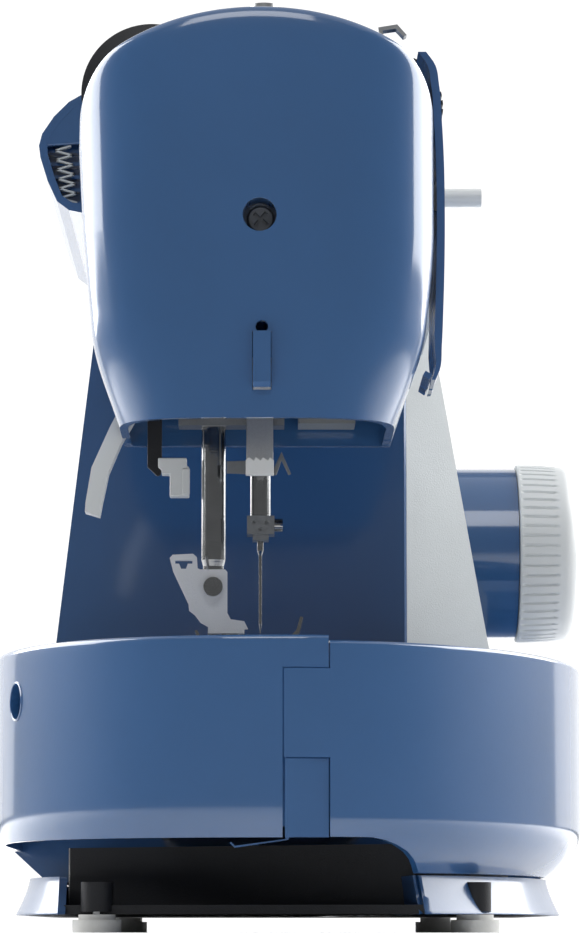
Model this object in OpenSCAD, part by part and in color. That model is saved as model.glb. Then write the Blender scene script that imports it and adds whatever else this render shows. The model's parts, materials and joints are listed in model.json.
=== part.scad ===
// Domestic free-arm sewing machine, in millimetres.
// +X runs from the needle to the handwheel, -Y faces the person sewing, +Z is up.
// The origin is the middle of the footprint, on the surface that the feet stand on.
// Positions below are written with y = 0 on the needle's line; seat() moves them to the origin.

/* [Overall sizes] */
// Needle to the inner wall of the pillar
throat_l = 160; // [130:1:200]
// Width of the pillar along the arm
pillar_w = 147; // [120:1:180]
// Table end to the needle
end_l = 65; // [54:1:80]
// Height of the sewing bed above the surface
bed_h = 88; // [73:1:106]
// Clear height between the bed and the head
head_gap = 67; // [55:1:82]
// Height of the head, from its lower rim to its crown
head_h = 128; // [106:1:154]
// Height of the arm at the throat
arm_h = 83; // [76:1:92]
// Needle to the front face of the pattern dial
dial_reach = 116.5; // [112:0.5:126]
// Needle to the front edge of the bed
front_d = 107; // [100:0.5:109]
// Needle to the rear edge of the bed
rear_d = 86.5; // [82:0.5:100]

/* [Casing] */
// Wall of the plastic casings
wall = 2.6; // [2:0.1:3.2]
// Head width in front of the needle
head_front = 54; // [50:0.5:56]
// Head width behind the needle
head_rear = 56.6; // [53:0.5:60]
// Radius of the crown across the arm
crown_r = 92; // [84:1:110]
// How far the face cover bulges beyond the casing
face_bulge = 34; // [30:1:38]
// Thickness of the raised front panel
panel_t = 3.4; // [2.5:0.1:4]
// Thickness of the grey stitch panel
stitch_t = 2; // [1.5:0.1:2.4]

/* [Free arm and table] */
// Half width of the free arm
free_half = 34; // [31:0.5:36]
// Gap between the free arm and the table round it
table_gap = 1.2; // [0.8:0.1:2]
// Wall of the table
table_wall = 2.4; // [2:0.1:3]
// Height of the table's lower edge
table_z0 = 28; // [26:0.5:30]
// Height of the door's lower edge and of the waist under it
waist_z = 17.5; // [16:0.5:19]

/* [Mechanism] */
// Radius of the main and lower shafts
shaft_r = 4; // [3.5:0.1:4.4]
// Radius of the needle bar
needle_bar_r = 3.2; // [2.8:0.1:3.4]
// Radius of the presser bar
presser_bar_r = 3.8; // [3.4:0.1:4]
// Presser bar behind the needle bar
presser_y = 14.7; // [13.5:0.1:16]
// Radius of the rotating hook
hook_r = 14.2; // [14:0.1:14.6]
// Radius of the bobbin
bobbin_r = 10.15; // [9.5:0.05:10.4]
// Radial running clearance of shafts and bars
run_gap = 0.05; // [0.02:0.01:0.08]

/* [Controls] */
// Radius of the pattern dial at its rear rim
dial_r = 33; // [28:0.5:36]
// Depth of the pattern dial
dial_t = 22; // [19:0.5:24]
// Grip grooves round the pattern dial
dial_ribs = 56; // [40:2:64]
// Radius of the handwheel
wheel_r = 34; // [29:0.5:38]
// Width of the handwheel
wheel_w = 25.5; // [22:0.5:30]
// Radius of the spool pin and of the winder spindle
spool_pin_r = 2.9; // [2.5:0.1:3]
// Radius of the spool cap
cap_r = 23; // [20:0.5:24]
// Height of the rubber feet
foot_h = 5.5; // [5:0.1:6.5]
// Radius of the rubber feet
foot_r = 7.5; // [6:0.1:8]

/* [Hidden] */
$fn = 48;
eps = 0.01;
big = 600;

wheel_gap = 2.5;                                  // between casing and handwheel
machine_l = end_l + throat_l + pillar_w + wheel_gap + wheel_w;
end_x = -machine_l / 2;
needle_x = end_x + end_l;
pillar_x0 = needle_x + throat_l;
pillar_x1 = pillar_x0 + pillar_w;
wheel_x = pillar_x1 + wheel_gap;
shift_y = (dial_reach - rear_d) / 2;
head_z0 = bed_h + head_gap;
top_z = head_z0 + head_h;
arm_z0 = top_z - arm_h;
shaft_z = top_z - 55;                             // main shaft's axis
lower_z = bed_h - 36;                             // lower shaft's axis
face_x = needle_x - 49;                           // apex of the face cover
casing_x0 = face_x + face_bulge;                  // where the casing meets the face cover
head_x1 = needle_x + 27;                          // right side of the head
frame_y = 15;                                     // front face of the inner frame's web
frame_t = 5;

module seat() translate([0, shift_y, 0]) children();

// ---- shared shapes -------------------------------------------------------------------------

// A polygon of [y, z] points drawn out along X from x0 to x1
module along_x(x0, x1) translate([x0, 0, 0]) rotate([90, 0, 90]) linear_extrude(x1 - x0) children();
// A polygon of [x, z] points drawn out along Y from y0 to y1
module along_y(y0, y1) translate([0, y1, 0]) rotate([90, 0, 0]) linear_extrude(y1 - y0) children();
// A polygon of [x, y] points drawn out along Z from z0 to z1
module along_z(z0, z1) translate([0, 0, z0]) linear_extrude(z1 - z0) children();
module block(lo, hi) translate(lo) cube(hi - lo);
module rod_x(x0, x1, y, z, r) translate([x0, y, z]) rotate([0, 90, 0]) cylinder(h = x1 - x0, r = r);
module rod_y(y0, y1, x, z, r) translate([x, y1, z]) rotate([90, 0, 0]) cylinder(h = y1 - y0, r = r);
module rod_z(z0, z1, x, y, r) translate([x, y, z0]) cylinder(h = z1 - z0, r = r);
module ring_x(x0, x1, y, z, r, bore) difference() {
    rod_x(x0, x1, y, z, r);
    rod_x(x0 - 1, x1 + 1, y, z, bore);
}
module ring_z(z0, z1, x, y, r, bore) difference() {
    rod_z(z0, z1, x, y, r);
    rod_z(z0 - 1, z1 + 1, x, y, bore);
}

// Quarter of a superellipse, from angle a0 to a1 in n steps
function sgn_pow(v, e) = sign(v) * pow(abs(v), e);
function quarter(cx, cy, a, b, p, a0, a1, n) = [for (i = [0:n - 1])
    let (t = a0 + (a1 - a0) * i / n)
    [cx + a * sgn_pow(cos(t), 2 / p), cy + b * sgn_pow(sin(t), 2 / p)]];
function arc(cx, cy, r, a0, a1, n) = [for (i = [0:n])
    let (t = a0 + (a1 - a0) * i / n) [cx + r * cos(t), cy + r * sin(t)]];

// The bed's outline in plan, drawn in by an inset: round table end on the left, square pillar end
plan_y = -8;                                      // widest line of the table's end
waist_in = 11.5;                                  // how far the waist is drawn in
end_round_front = 170;
end_round_rear = 140;
corner_round = 42;
function plan(inset, n = 7) = concat(
    quarter(pillar_x1 - corner_round, plan_y, corner_round - inset, rear_d - plan_y - inset, 4, 0, 90, n),
    quarter(end_x + end_round_rear, plan_y, end_round_rear - inset, rear_d - plan_y - inset, 2.4, 90, 180, n),
    quarter(end_x + end_round_front, plan_y, end_round_front - inset, front_d + plan_y - inset, 2.05, 180, 270, n),
    quarter(pillar_x1 - corner_round, plan_y, corner_round - inset, front_d + plan_y - inset, 4, 270, 360, n));
module plan_wall(inset, z0, z1) along_z(z0, z1) polygon(plan(inset));
// A solid between two plan outlines, from z0 drawn in by in0 to z1 drawn in by in1
module plan_flare(z0, in0, z1, in1) {
    n = len(plan(0));
    polyhedron(
        concat([for (p = plan(in0)) [p[0], p[1], z0]], [for (p = plan(in1)) [p[0], p[1], z1]]),
        concat([[for (i = [0:n - 1]) i], [for (i = [n - 1:-1:0]) n + i]],
            [for (i = [0:n - 1]) let (j = (i + 1) % n) each [[i, n + j, j], [i, n + i, n + j]]]));
}

// ---- casing --------------------------------------------------------------------------------

// The head's and arm's section across X, drawn in by an inset
shoulder_z = top_z - 17;
function crown_pts(inset) = let (
    r = crown_r - inset, cz = top_z - crown_r,
    half_f = asin((head_front - 6) / crown_r), half_r = asin((head_rear - 6) / crown_r))
    [for (i = [0:14]) let (a = 90 - half_r + (half_r + half_f) * i / 14) [r * cos(a), cz + r * sin(a)]];
function head_section(inset, z0) = concat(
    [[head_rear - 13 - inset, z0], [head_rear - 3.5 - inset, z0 + 37], [head_rear - inset, z0 + 76],
     [head_rear - inset, shoulder_z - 14], [head_rear - 1.8 - inset, shoulder_z - 4]],
    crown_pts(inset),
    [[1.8 - head_front + inset, shoulder_z - 4], [inset - head_front, shoulder_z - 14],
     [inset - head_front, z0 + 60], [3 - head_front + inset, z0 + 28], [12.5 - head_front + inset, z0]]);
// The pillar's section: it leans outwards towards the bed
lean_front = 31;
lean_rear = 17;
function pillar_section(inset, z0) = concat(
    [[head_rear + lean_rear - inset, z0], [head_rear - inset, shoulder_z - 34], [head_rear - inset, shoulder_z - 14],
     [head_rear - 1.8 - inset, shoulder_z - 4]],
    crown_pts(inset),
    [[1.8 - head_front + inset, shoulder_z - 4], [inset - head_front - lean_front, z0]]);

// Front view of the arm and of the part of the head that belongs to the casing
throat_fillet = 12;
casing_corner = 20;
function right_end(inset, z0) = concat([[pillar_x1 - inset, z0]],
    arc(pillar_x1 - casing_corner, top_z - casing_corner, casing_corner - inset, 0, 90, 8));
function arm_profile(inset, x0) = concat(right_end(inset, arm_z0 + inset),
    [[x0, top_z - inset], [x0, head_z0], [head_x1 - inset, head_z0]],
    [for (i = [0:5]) let (a = 180 - 90 * i / 5)
        [head_x1 - inset + throat_fillet + throat_fillet * cos(a), arm_z0 + inset - throat_fillet + throat_fillet * sin(a)]]);
// Plan of the pillar: its front inner corner is cut back
pillar_cut = 35;
function pillar_plan(inset) = [[pillar_x0 + inset, 49 - 100 + 2 * inset / 3], [pillar_x0 + pillar_cut + inset / 3, -89 + inset],
    [pillar_x1 - inset, -130], [pillar_x1 - inset, 130], [pillar_x0 + inset, 130]];

module upper_solid(inset) {
    intersection() {
        along_x(casing_x0, pillar_x1) polygon(head_section(inset, head_z0));
        along_y(-big, big) polygon(arm_profile(inset, casing_x0));
    }
    intersection() {
        along_x(pillar_x0, pillar_x1) polygon(pillar_section(inset, bed_h));
        along_y(-big, big) polygon(concat(right_end(inset, bed_h), [[pillar_x0, top_z - inset], [pillar_x0, bed_h]]));
        along_z(bed_h - 1, top_z + 1) polygon(pillar_plan(inset));
    }
}
// The pillar's foot: the part of the bed under the pillar
module foot_solid(inset, z1) intersection() {
    union() {
        plan_wall(inset, table_z0, z1);
        if (inset == 0) plan_flare(waist_z, waist_in, table_z0, 0);
    }
    block([pillar_x0 + inset, -big, 0], [big, big, top_z]);
}
seam_y = 13;                                      // where the front and rear casings meet
dial_x = (pillar_x0 + pillar_x1) / 2 - 0.5;
dial_z = bed_h + 52;
dial_boss_y = 94.5;                               // front face of the hub, in front of the needle
spool_x0 = needle_x + 17;                         // spool recess
spool_x1 = needle_x + 91;
spool_y = 35.5;
spool_z = top_z - 11.2;
spool_floor_z = spool_z - cap_r - 1.8;
handle_x0 = needle_x + 75;
handle_x1 = handle_x0 + 161;
lug_xs = [needle_x + 104, handle_x1 - 10];
lifter_x = needle_x + 10;
winder_x = handle_x1 + 24;
winder_y = 8;
lever_x = pillar_x0 + 20;
lever_z = top_z - 18.3;
small_dial_z = top_z - 46;
length_dial_x = dial_x + 22;
tension_x = needle_x + 38;
tension_y = -41;
tension_z = top_z - 15;
tension_r = 18.6;
hub_r = dial_r - 1.5;
switch_z = 62;
inlet_z = 52;

module casing_shell() {
    difference() {
        union() {
            upper_solid(0);
            foot_solid(0, bed_h);
        }
        upper_solid(wall);
        foot_solid(wall, bed_h - wall);
        intersection() {
            plan_wall(waist_in + wall, waist_z - 1, table_z0 + 1);
            block([pillar_x0 + wall, -big, 0], [big, big, top_z]);
        }
        // the pillar opens into the foot
        along_z(bed_h - wall - 1, bed_h + 1) intersection() {
            polygon(pillar_plan(wall));
            translate([pillar_x0 + wall, 4 - head_front - lean_front]) square([pillar_w - 2 * wall, head_front + head_rear + lean_front + lean_rear - 8]);
        }
        // the head is open below
        block([casing_x0 - 1, -head_front + 16, head_z0 - 1], [head_x1 - wall, head_rear - 16, head_z0 + wall + 1]);
        casing_openings();
    }
    spool_well();
    // cheeks and pin of the tension dial
    intersection() {
        upper_solid(0);
        for (x = [tension_x - 7, tension_x + 4.6]) block([x, -50, tension_z - 6], [x + 2.4, tension_y + 6, tension_z + 8]);
    }
    rod_x(tension_x - 5, tension_x + 5, tension_y, tension_z, 2.5);
    // pins and pockets of the handle
    for (x = lug_xs) {
        rod_x(x - 1, x + 9, handle_pivot[0], handle_pivot[1], 2);
        intersection() {
            upper_solid(0);
            for (dx = [-2.6, 8]) block([x + dx, 33, top_z - 18], [x + dx + 2.6, 52, top_z - 7]);
        }
    }
}
// The well that the spool pin stands in: floor and right wall under the crown
module spool_well() intersection() {
    upper_solid(0);
    difference() {
        block([spool_x0 - wall, spool_y - cap_r - 2 - wall, spool_floor_z - wall], [spool_x1 + wall, big, big]);
        block([spool_x0, spool_y - cap_r - 2, spool_floor_z], [spool_x1, big, big]);
        rod_x(spool_x1 - 1, spool_x1 + wall + 1, spool_y, spool_z, spool_pin_r + 0.05);
    }
}
module casing_openings() {
    block([spool_x0, spool_y - cap_r - 2, spool_floor_z], [spool_x1, big, big]);
    rod_x(spool_x1 - 1, spool_x1 + wall + 2.2, spool_y, spool_z, spool_pin_r + 0.05);
    // slot for the lifter lever in the rear wall
    block([lifter_x - 6, 30, head_z0 - 1], [lifter_x + 6, big, head_z0 + 34]);
    // slots for the thread and for the take-up lever
    for (dx = [8, 21]) block([needle_x + dx - 1.4, -big, head_z0 - 1], [needle_x + dx + 1.4, -20, top_z - 22]);
    // windows for the dials, levers and the wheel shaft
    block([tension_x - 4.6, -big, tension_z - tension_r - 1], [tension_x + 4.6, tension_y, top_z + 1]);
    block([tension_x - 4.6, tension_y - 1, tension_z - 3], [tension_x + 4.6, tension_y + tension_r + 1, top_z + 1]);
    rod_y(-big, -30, dial_x, dial_z, 9);
    rod_y(-big, -30, length_dial_x, small_dial_z, 5);
    block([lever_x - 4.5, -big, lever_z - 10], [lever_x + 4.5, -40, lever_z + 7]);
    rod_x(pillar_x1 - 10, pillar_x1 + 1, 0, shaft_z, shaft_r + 1);
    rod_z(top_z - 12, top_z + 1, casing_x0 + 4, -1, 2.05);
    block([pillar_x1 - 10, 20.2, switch_z - 10], [pillar_x1 + 1, 36.8, switch_z + 10]);
    block([pillar_x1 - 10, -12, inlet_z - 10], [pillar_x1 + 1, 10, inlet_z + 10]);
    block([winder_x - 8, winder_y - 4.6, top_z - 20], [winder_x + 3.6, winder_y + 4.6, top_z + 1]);
    // pockets for the handle's pivot lugs
    for (x = lug_xs) block([x, 31, top_z - 22], [x + 8, big, top_z + 1]);
    // seat of the stitch panel
    stitch_zone(0.05);
    // the free arm's root passes through the inner wall of the foot
    block([pillar_x0 - 1, -free_half + wall + 2, table_z0 + 8], [pillar_x0 + wall + 1, free_half - wall - 2, bed_h - wall - 2]);
}
// The outer skin of the pillar's front, which the stitch panel replaces
module stitch_zone(slack) difference() {
    intersection() {
        along_x(pillar_x0, pillar_x1) polygon(pillar_section(-eps, bed_h));
        along_z(bed_h - 1, top_z + 1) polygon(pillar_plan(-eps));
        block([pillar_x0 + 0.8 - slack, -big, bed_h + 2 - slack], [pillar_x1 - 8 + slack, -44, arm_z0 + 22 + slack]);
    }
    intersection() {
        along_x(pillar_x0 - 1, pillar_x1) polygon(pillar_section(stitch_t + slack, bed_h));
        along_z(bed_h - 4, top_z + 1) polygon(pillar_plan(stitch_t + slack));
    }
}

module front_housing() color("steelblue") intersection() {
    casing_shell();
    block([-big, -big, 0], [big, seam_y, big]);
}
module rear_housing() color("steelblue") intersection() {
    casing_shell();
    block([-big, seam_y, 0], [big, big, big]);
}

// Face cover: a bowed end wall with round side edges
face_hole_z = head_z0 + 62.4;
cutter_z0 = head_z0 + 9;
cutter_z1 = head_z0 + 26;
function face_plan(inset) = [for (i = [0:32]) let (v = cos(180 * i / 32), y0 = (head_rear - head_front) / 2,
        half = (head_rear + head_front) / 2 - inset, n = 3.2)
    [casing_x0 - (face_bulge - inset) * pow(1 - pow(abs(v), n), 1 / n), y0 + half * v]];
module face_solid(inset, z0) intersection() {
    along_x(face_x, casing_x0) polygon(head_section(inset, head_z0));
    along_z(z0, big) polygon(face_plan(inset));
}
module face_cover() color("steelblue") difference() {
    union() {
        difference() {
            face_solid(0, head_z0);
            difference() {
                face_solid(wall, head_z0 - 1);
                rod_x(face_x, face_x + 20, 0, face_hole_z, 7.2);
            }
            block([face_x - 1, -head_front + 14, head_z0 - 1], [casing_x0 + 1, head_rear - 15, head_z0 + eps]);
        }
    }
    rod_x(face_x - 1, face_x + 14, 0, face_hole_z, 5.2);
    rod_x(face_x + 13, face_x + 21, 0, face_hole_z, 2.2);
    block([face_x - 1, -3.2, cutter_z0 - 0.1], [face_x + 5, 2.4, cutter_z1 + 0.2]);
    rod_x(face_x - 1, face_x + 5, -0.4, cutter_z1 + 2, 2);
}
module face_cover_screw() color("silver") difference() {
    union() {
        rod_x(face_x + 11, face_x + 14, 0, face_hole_z, 4.4);
        rod_x(face_x + 14 - eps, casing_x0 + 4, 0, face_hole_z, 2);
    }
    for (a = [45, 135]) translate([face_x + 11, 0, face_hole_z]) rotate([a, 0, 0]) cube([3, 1, 5.6], center = true);
}
module thread_cutter() color("steelblue") {
    difference() {
        block([face_x - 3.6, -3.1, cutter_z0], [face_x + 4, 2.3, cutter_z1]);
        block([face_x - 0.6, -3.2, cutter_z1 - 9], [face_x + 0.6, 2.4, cutter_z1 + 1]);
        translate([face_x - 3.6, 0, cutter_z0]) rotate([0, 45, 0]) cube([2, 8, 2], center = true);
    }
}
module front_panel() color("steelblue") difference() {
    intersection() {
        along_x(casing_x0 + 0.1, pillar_x0 - 2) polygon([
            [-head_front - 1, top_z - 103], [-head_front - panel_t - 0.6, top_z - 106],
            [-head_front - panel_t - 1.4, top_z - 60], [-head_front - panel_t - 0.6, top_z - 26],
            [-head_front - panel_t + 3.5, top_z - 7], [-head_front + 5, top_z - 5.6],
            [-head_front + 1.2, top_z - 20], [-head_front - 1, top_z - 42], [-head_front - 1, arm_z0]]);
        along_y(-big, big) polygon([[casing_x0 - 1, top_z + 1], [casing_x0 - 1, top_z - 106], [head_x1 - 2, top_z - 106],
            [head_x1 + 12, arm_z0 + 4], [pillar_x0 - 2, arm_z0 + 4], [pillar_x0 - 2, top_z + 1]]);
    }
    upper_solid(-0.05);
    // thread channel between the panel and the casing
    block([casing_x0, -head_front - 2.2, top_z - 100], [needle_x + 24, -20, top_z - 9]);
    for (dx = [8, 21]) block([needle_x + dx - 1.4, -big, head_z0 - 1], [needle_x + dx + 1.4, -20, top_z - 22]);
    block([tension_x - 4.6, -big, tension_z - tension_r - 1], [tension_x + 4.6, tension_y + 14, top_z + 1]);
}
module stitch_panel() color("silver") difference() {
    stitch_zone(0);
    rod_y(-big, -30, dial_x, dial_z, hub_r + 0.3);
    rod_y(-big, -30, length_dial_x, small_dial_z, 5);
}
// Fixed collar behind the pattern dial; it meets the leaning front of the pillar
module dial_hub() color("steelblue") difference() {
    rod_y(-dial_boss_y, -60, dial_x, dial_z, hub_r);
    intersection() {
        along_x(pillar_x0 - 1, pillar_x1) polygon(pillar_section(-0.03, bed_h));
        block([-big, -big, 0], [big, -40, big]);
    }
    rod_y(-dial_boss_y + 3, -40, dial_x, dial_z, hub_r - wall);
    rod_y(-dial_boss_y - 1, -40, dial_x, dial_z, 6.2);
}

// ---- base ----------------------------------------------------------------------------------

pan_x0 = end_x + 32;                              // recessed left end under the table
pan_rear = 62;                                    // straight rear side under the table
leg_y = -48;                                      // rear edge of the front leg
foot_xs = [end_x + 50, pillar_x1 - 42];
foot_ys = [50, -66];
module base_pan() color("midnightblue") difference() {
    union() {
        difference() {
            plan_flare(foot_h, 7, waist_z - 0.3, waist_in + 0.2);
            plan_wall(waist_in + wall + 1, foot_h + 2.5, waist_z);
            block([-big, pan_rear, 0], [pillar_x0, big, big]);
            along_x(-big, pan_x0) polygon([[leg_y, -1], [leg_y + 6, waist_z + 1], [big, waist_z + 1], [big, -1]]);
        }
        for (x = foot_xs) for (y = foot_ys) rod_z(foot_h + 1, waist_z - 2, x, y, 5);
    }
    for (x = foot_xs) for (y = foot_ys) rod_z(0, waist_z + 20, x, y, 1.6);
}
module rubber_feet() color("gainsboro") for (x = foot_xs) for (y = foot_ys) difference() {
    union() {
        rod_z(0, foot_h - 1.6, x, y, foot_r);
        rod_z(foot_h - 1.6 - eps, foot_h, x, y, foot_r - 1.8);
    }
    rod_z(-1, foot_h - 1.8, x, y, 3.4);
    rod_z(-1, foot_h + 1, x, y, 1.6);
}
module foot_screws() color("silver") for (x = foot_xs) for (y = foot_ys) difference() {
    union() {
        rod_z(foot_h - 3.6, foot_h - 1.85, x, y, 3);
        rod_z(foot_h - 2, foot_h + 5, x, y, 1.45);
    }
    translate([x, y, foot_h - 3.6]) cube([4, 0.8, 1.6], center = true);
}

// ---- free arm and needle plate -----------------------------------------------------------------

free_x0 = needle_x - 33;
plate_t = 1.6;
plate_x0 = free_x0 + 8;
plate_x1 = needle_x + 30;
cover_x0 = needle_x - 24;
cover_x1 = needle_x + 24;
hook_y = -(hook_r + 1.4);
module free_arm() color("steelblue") difference() {
    free_arm_solid(0, table_z0 + 4, bed_h);
    free_arm_solid(wall, 0, bed_h - wall);
    block([plate_x0 - 0.1, -free_half + 2, bed_h - plate_t], [plate_x1 + 0.1, free_half - 2, bed_h + 1]);
    block([plate_x0 + 3, -free_half + 5, bed_h - 10], [plate_x1 - 3, free_half - 5, bed_h + 1]);
    block([cover_x0, -free_half - 1, bed_h - cover_t - 0.1], [cover_x1, 0, bed_h + 1]);
}
module free_arm_solid(inset, z0, z1) along_z(z0, z1) polygon(concat(
    [[pillar_x0, -free_half + inset], [pillar_x0, free_half - inset]],
    arc(free_x0 + 16, free_half - 16, 16 - inset, 90, 180, 8),
    arc(free_x0 + 16, 16 - free_half, 16 - inset, 180, 270, 8)));
feed_xs = [-7.5, 0, 7.5];
feed_w = 2.2;
module needle_plate() color("silver") difference() {
    block([plate_x0, -free_half + 2.1, bed_h - plate_t], [plate_x1, free_half - 2.1, bed_h]);
    block([cover_x0, -free_half - 1, bed_h - 5], [cover_x1, -4.2, bed_h + 1]);
    block([needle_x - 3.6, -1.6, bed_h - 5], [needle_x + 3.6, 1.6, bed_h + 1]);
    for (dx = feed_xs) block([needle_x + dx - feed_w / 2 - 0.5, dx == 0 ? 4.5 : -1.5, bed_h - 5],
        [needle_x + dx + feed_w / 2 + 0.5, 23.5, bed_h + 1]);
    for (x = [plate_x0 + 6, plate_x1 - 6]) rod_z(bed_h - 5, bed_h + 1, x, 20, 1.7);
}
module needle_plate_screws() color("silver") for (x = [plate_x0 + 6, plate_x1 - 6]) difference() {
    union() {
        rod_z(bed_h, bed_h + 0.6, x, 20, 3.2);
        rod_z(bed_h - 9, bed_h + eps, x, 20, 1.6);
    }
    translate([x, 20, bed_h + 0.6]) cube([7, 0.7, 0.7], center = true);
}
cover_t = 1.5;
module bobbin_cover() color("gainsboro", 0.6) difference() {
    block([cover_x0 + 0.2, -free_half - 0.6, bed_h - cover_t], [cover_x1 - 0.2, -4.4, bed_h]);
    for (i = [-2:2]) block([needle_x + 3 * i - 0.6, -free_half + 3, bed_h - 0.5], [needle_x + 3 * i + 0.6, -free_half + 9, bed_h + 1]);
}

// ---- frame, shafts and drive ---------------------------------------------------------------

pulley_r = 11;
belt_t = 1.6;
belt_x = pillar_x0 + 36;
motor_y = 40;
motor_z = bed_h + 36;
motor_r = 22;
motor_x0 = pillar_x0 + 44;
motor_x1 = pillar_x1 - 32;
drive_x = pillar_x1 - 17;
drive_r = 28;
rotor_r = 5.6;
main_bush_xs = [needle_x + 34, pillar_x0 + 8, pillar_x1 - 42];
lower_bush_xs = [needle_x + 26, pillar_x0 + 16];
bush_r = shaft_r + 3;
bush_l = 12;
frame_x1 = pillar_x1 - 28;
module frame() color("dimgray") difference() {
    union() {
        along_y(frame_y, frame_y + frame_t) polygon([
            [needle_x + 28, shaft_z - 13], [pillar_x0 + 4, shaft_z - 13], [pillar_x0 + 12, lower_z + 14],
            [needle_x + 22, lower_z + 14], [needle_x + 22, lower_z - 12], [frame_x1, lower_z - 12],
            [frame_x1, shaft_z + 13], [needle_x + 28, shaft_z + 13]]);
        for (x = main_bush_xs) {
            rod_x(x, x + bush_l, 0, shaft_z, bush_r + 3);
            block([x, 0, shaft_z - 9], [x + bush_l, frame_y + 1, shaft_z + 9]);
        }
        for (x = lower_bush_xs) {
            rod_x(x, x + bush_l, 0, lower_z, bush_r + 3);
            block([x, 0, lower_z - 9], [x + bush_l, frame_y + 1, lower_z + 9]);
        }
    }
    for (x = main_bush_xs) rod_x(x - 1, x + bush_l + 1, 0, shaft_z, bush_r);
    for (x = lower_bush_xs) rod_x(x - 1, x + bush_l + 1, 0, lower_z, bush_r);
    block([motor_x0 - 2, 0, motor_z - motor_r - 2], [big, 60, motor_z + motor_r + 2]);
}
module bearing_bushes() color("goldenrod") {
    for (x = main_bush_xs) ring_x(x, x + bush_l, 0, shaft_z, bush_r, shaft_r + run_gap);
    for (x = lower_bush_xs) ring_x(x, x + bush_l, 0, lower_z, bush_r, shaft_r + run_gap);
}
module toothed_disc_x(x0, x1, y, z, r, teeth) difference() {
    rod_x(x0, x1, y, z, r);
    for (i = [0:teeth - 1]) translate([(x0 + x1) / 2, y, z]) rotate([360 * i / teeth, 0, 0])
        translate([0, 0, r]) cube([x1 - x0 + 2, 3.14 * r / teeth, 1.6], center = true);
}
crank_x = needle_x + 12;                          // left face of the crank wheel
crank_pin = 16;
counterweight_r = 17.5;
module main_shaft() color("silver") rod_x(crank_x + 14, wheel_x + wheel_w - 8, 0, shaft_z, shaft_r);
module crank_wheel() color("gray") difference() {
    union() {
        rod_x(crank_x + 4, crank_x + 14, 0, shaft_z, 9);
        intersection() {
            rod_x(crank_x + 4, crank_x + 12, 0, shaft_z, counterweight_r);
            block([crank_x, -30, shaft_z - 30], [crank_x + 14, 30, shaft_z + 3]);
        }
        rod_x(crank_x + 4, crank_x + 12, 0, shaft_z + crank_pin - 12, 8);
        rod_x(crank_x - 6, crank_x + 5, 0, shaft_z + 4, 3);
    }
}
module shaft_pulleys() color("gray") difference() {
    union() {
        toothed_disc_x(belt_x - 5, belt_x + 5, 0, shaft_z, pulley_r, 18);
        rod_x(belt_x + 4.9, belt_x + 6.5, 0, shaft_z, pulley_r - 1);
        toothed_disc_x(drive_x - 4, drive_x + 4, 0, shaft_z, drive_r, 50);
        ring_x(drive_x - 9, drive_x - 3.9, 0, shaft_z, 9, shaft_r);
    }
    rod_x(belt_x - 9, drive_x + 9, 0, shaft_z, shaft_r);
}
module handwheel() color("gainsboro") difference() {
    union() {
        translate([wheel_x, 0, shaft_z]) rotate([0, 90, 0]) rotate_extrude() polygon([
            [shaft_r, 0], [14, 0], [15, 3], [wheel_r - 7, 6], [wheel_r - 2, 3], [wheel_r - 1, 4],
            [wheel_r, 7], [wheel_r, wheel_w - 7], [wheel_r - 3, wheel_w - 2], [wheel_r - 7, wheel_w],
            [wheel_r - 10, wheel_w - 1.5], [wheel_r - 12, wheel_w - 6], [14, wheel_w - 6], [13, wheel_w - 2.5],
            [11, wheel_w - 1], [0, wheel_w - 1], [0, wheel_w - 7.9], [shaft_r, wheel_w - 7.9]]);
    }
    for (i = [0:23]) translate([wheel_x + wheel_w / 2, 0, shaft_z]) rotate([15 * i, 0, 0])
        translate([0, 0, wheel_r + 0.2]) rotate([0, 90, 0]) cylinder(h = wheel_w - 11, r = 1.3, center = true, $fn = 24);
}
module lower_shaft() color("silver") rod_x(needle_x - 12, belt_x + 14, 0, lower_z, shaft_r);
pinion_r = (-hook_y - 0.6) / 3;
gear_r = 2 * pinion_r;
module lower_wheels() color("gray") difference() {
    union() {
        toothed_disc_x(belt_x - 5, belt_x + 5, 0, lower_z, pulley_r, 18);
        rod_x(belt_x + 4.9, belt_x + 6.5, 0, lower_z, pulley_r - 1);
        toothed_disc_x(needle_x - 5, needle_x + 5, 0, lower_z, gear_r, 24);
    }
    rod_x(needle_x - 9, belt_x + 9, 0, lower_z, shaft_r);
}
module belt_loop(x, w, y1, z1, r1, y2, z2, r2) along_x(x - w / 2, x + w / 2) difference() {
    hull() {
        translate([y1, z1]) circle(r = r1 + belt_t + 0.3, $fn = 40);
        translate([y2, z2]) circle(r = r2 + belt_t + 0.3, $fn = 40);
    }
    hull() {
        translate([y1, z1]) circle(r = r1 + 0.3, $fn = 40);
        translate([y2, z2]) circle(r = r2 + 0.3, $fn = 40);
    }
}
module timing_belt() color("black") belt_loop(belt_x, 8, 0, shaft_z, pulley_r, 0, lower_z, pulley_r);
module motor_belt() color("black") belt_loop(drive_x, 6, 0, shaft_z, drive_r, motor_y, motor_z, rotor_r);
module motor() color("darkslategray") difference() {
    union() {
        rod_x(motor_x0, motor_x1, motor_y, motor_z, motor_r);
        rod_x(motor_x1 - eps, motor_x1 + 4, motor_y, motor_z, 10);
    }
    rod_x(motor_x0 + 4, motor_x1 + 5, motor_y, motor_z, 3.1);
}
module motor_rotor() color("silver") {
    rod_x(motor_x0 + 5, motor_x1 + 6, motor_y, motor_z, 3);
    rod_x(motor_x1 + 4.5, drive_x + 7, motor_y, motor_z, 3);
    toothed_disc_x(drive_x - 4, drive_x + 4, motor_y, motor_z, rotor_r, 12);
}

// ---- hook and bobbin -------------------------------------------------------------------------

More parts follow.
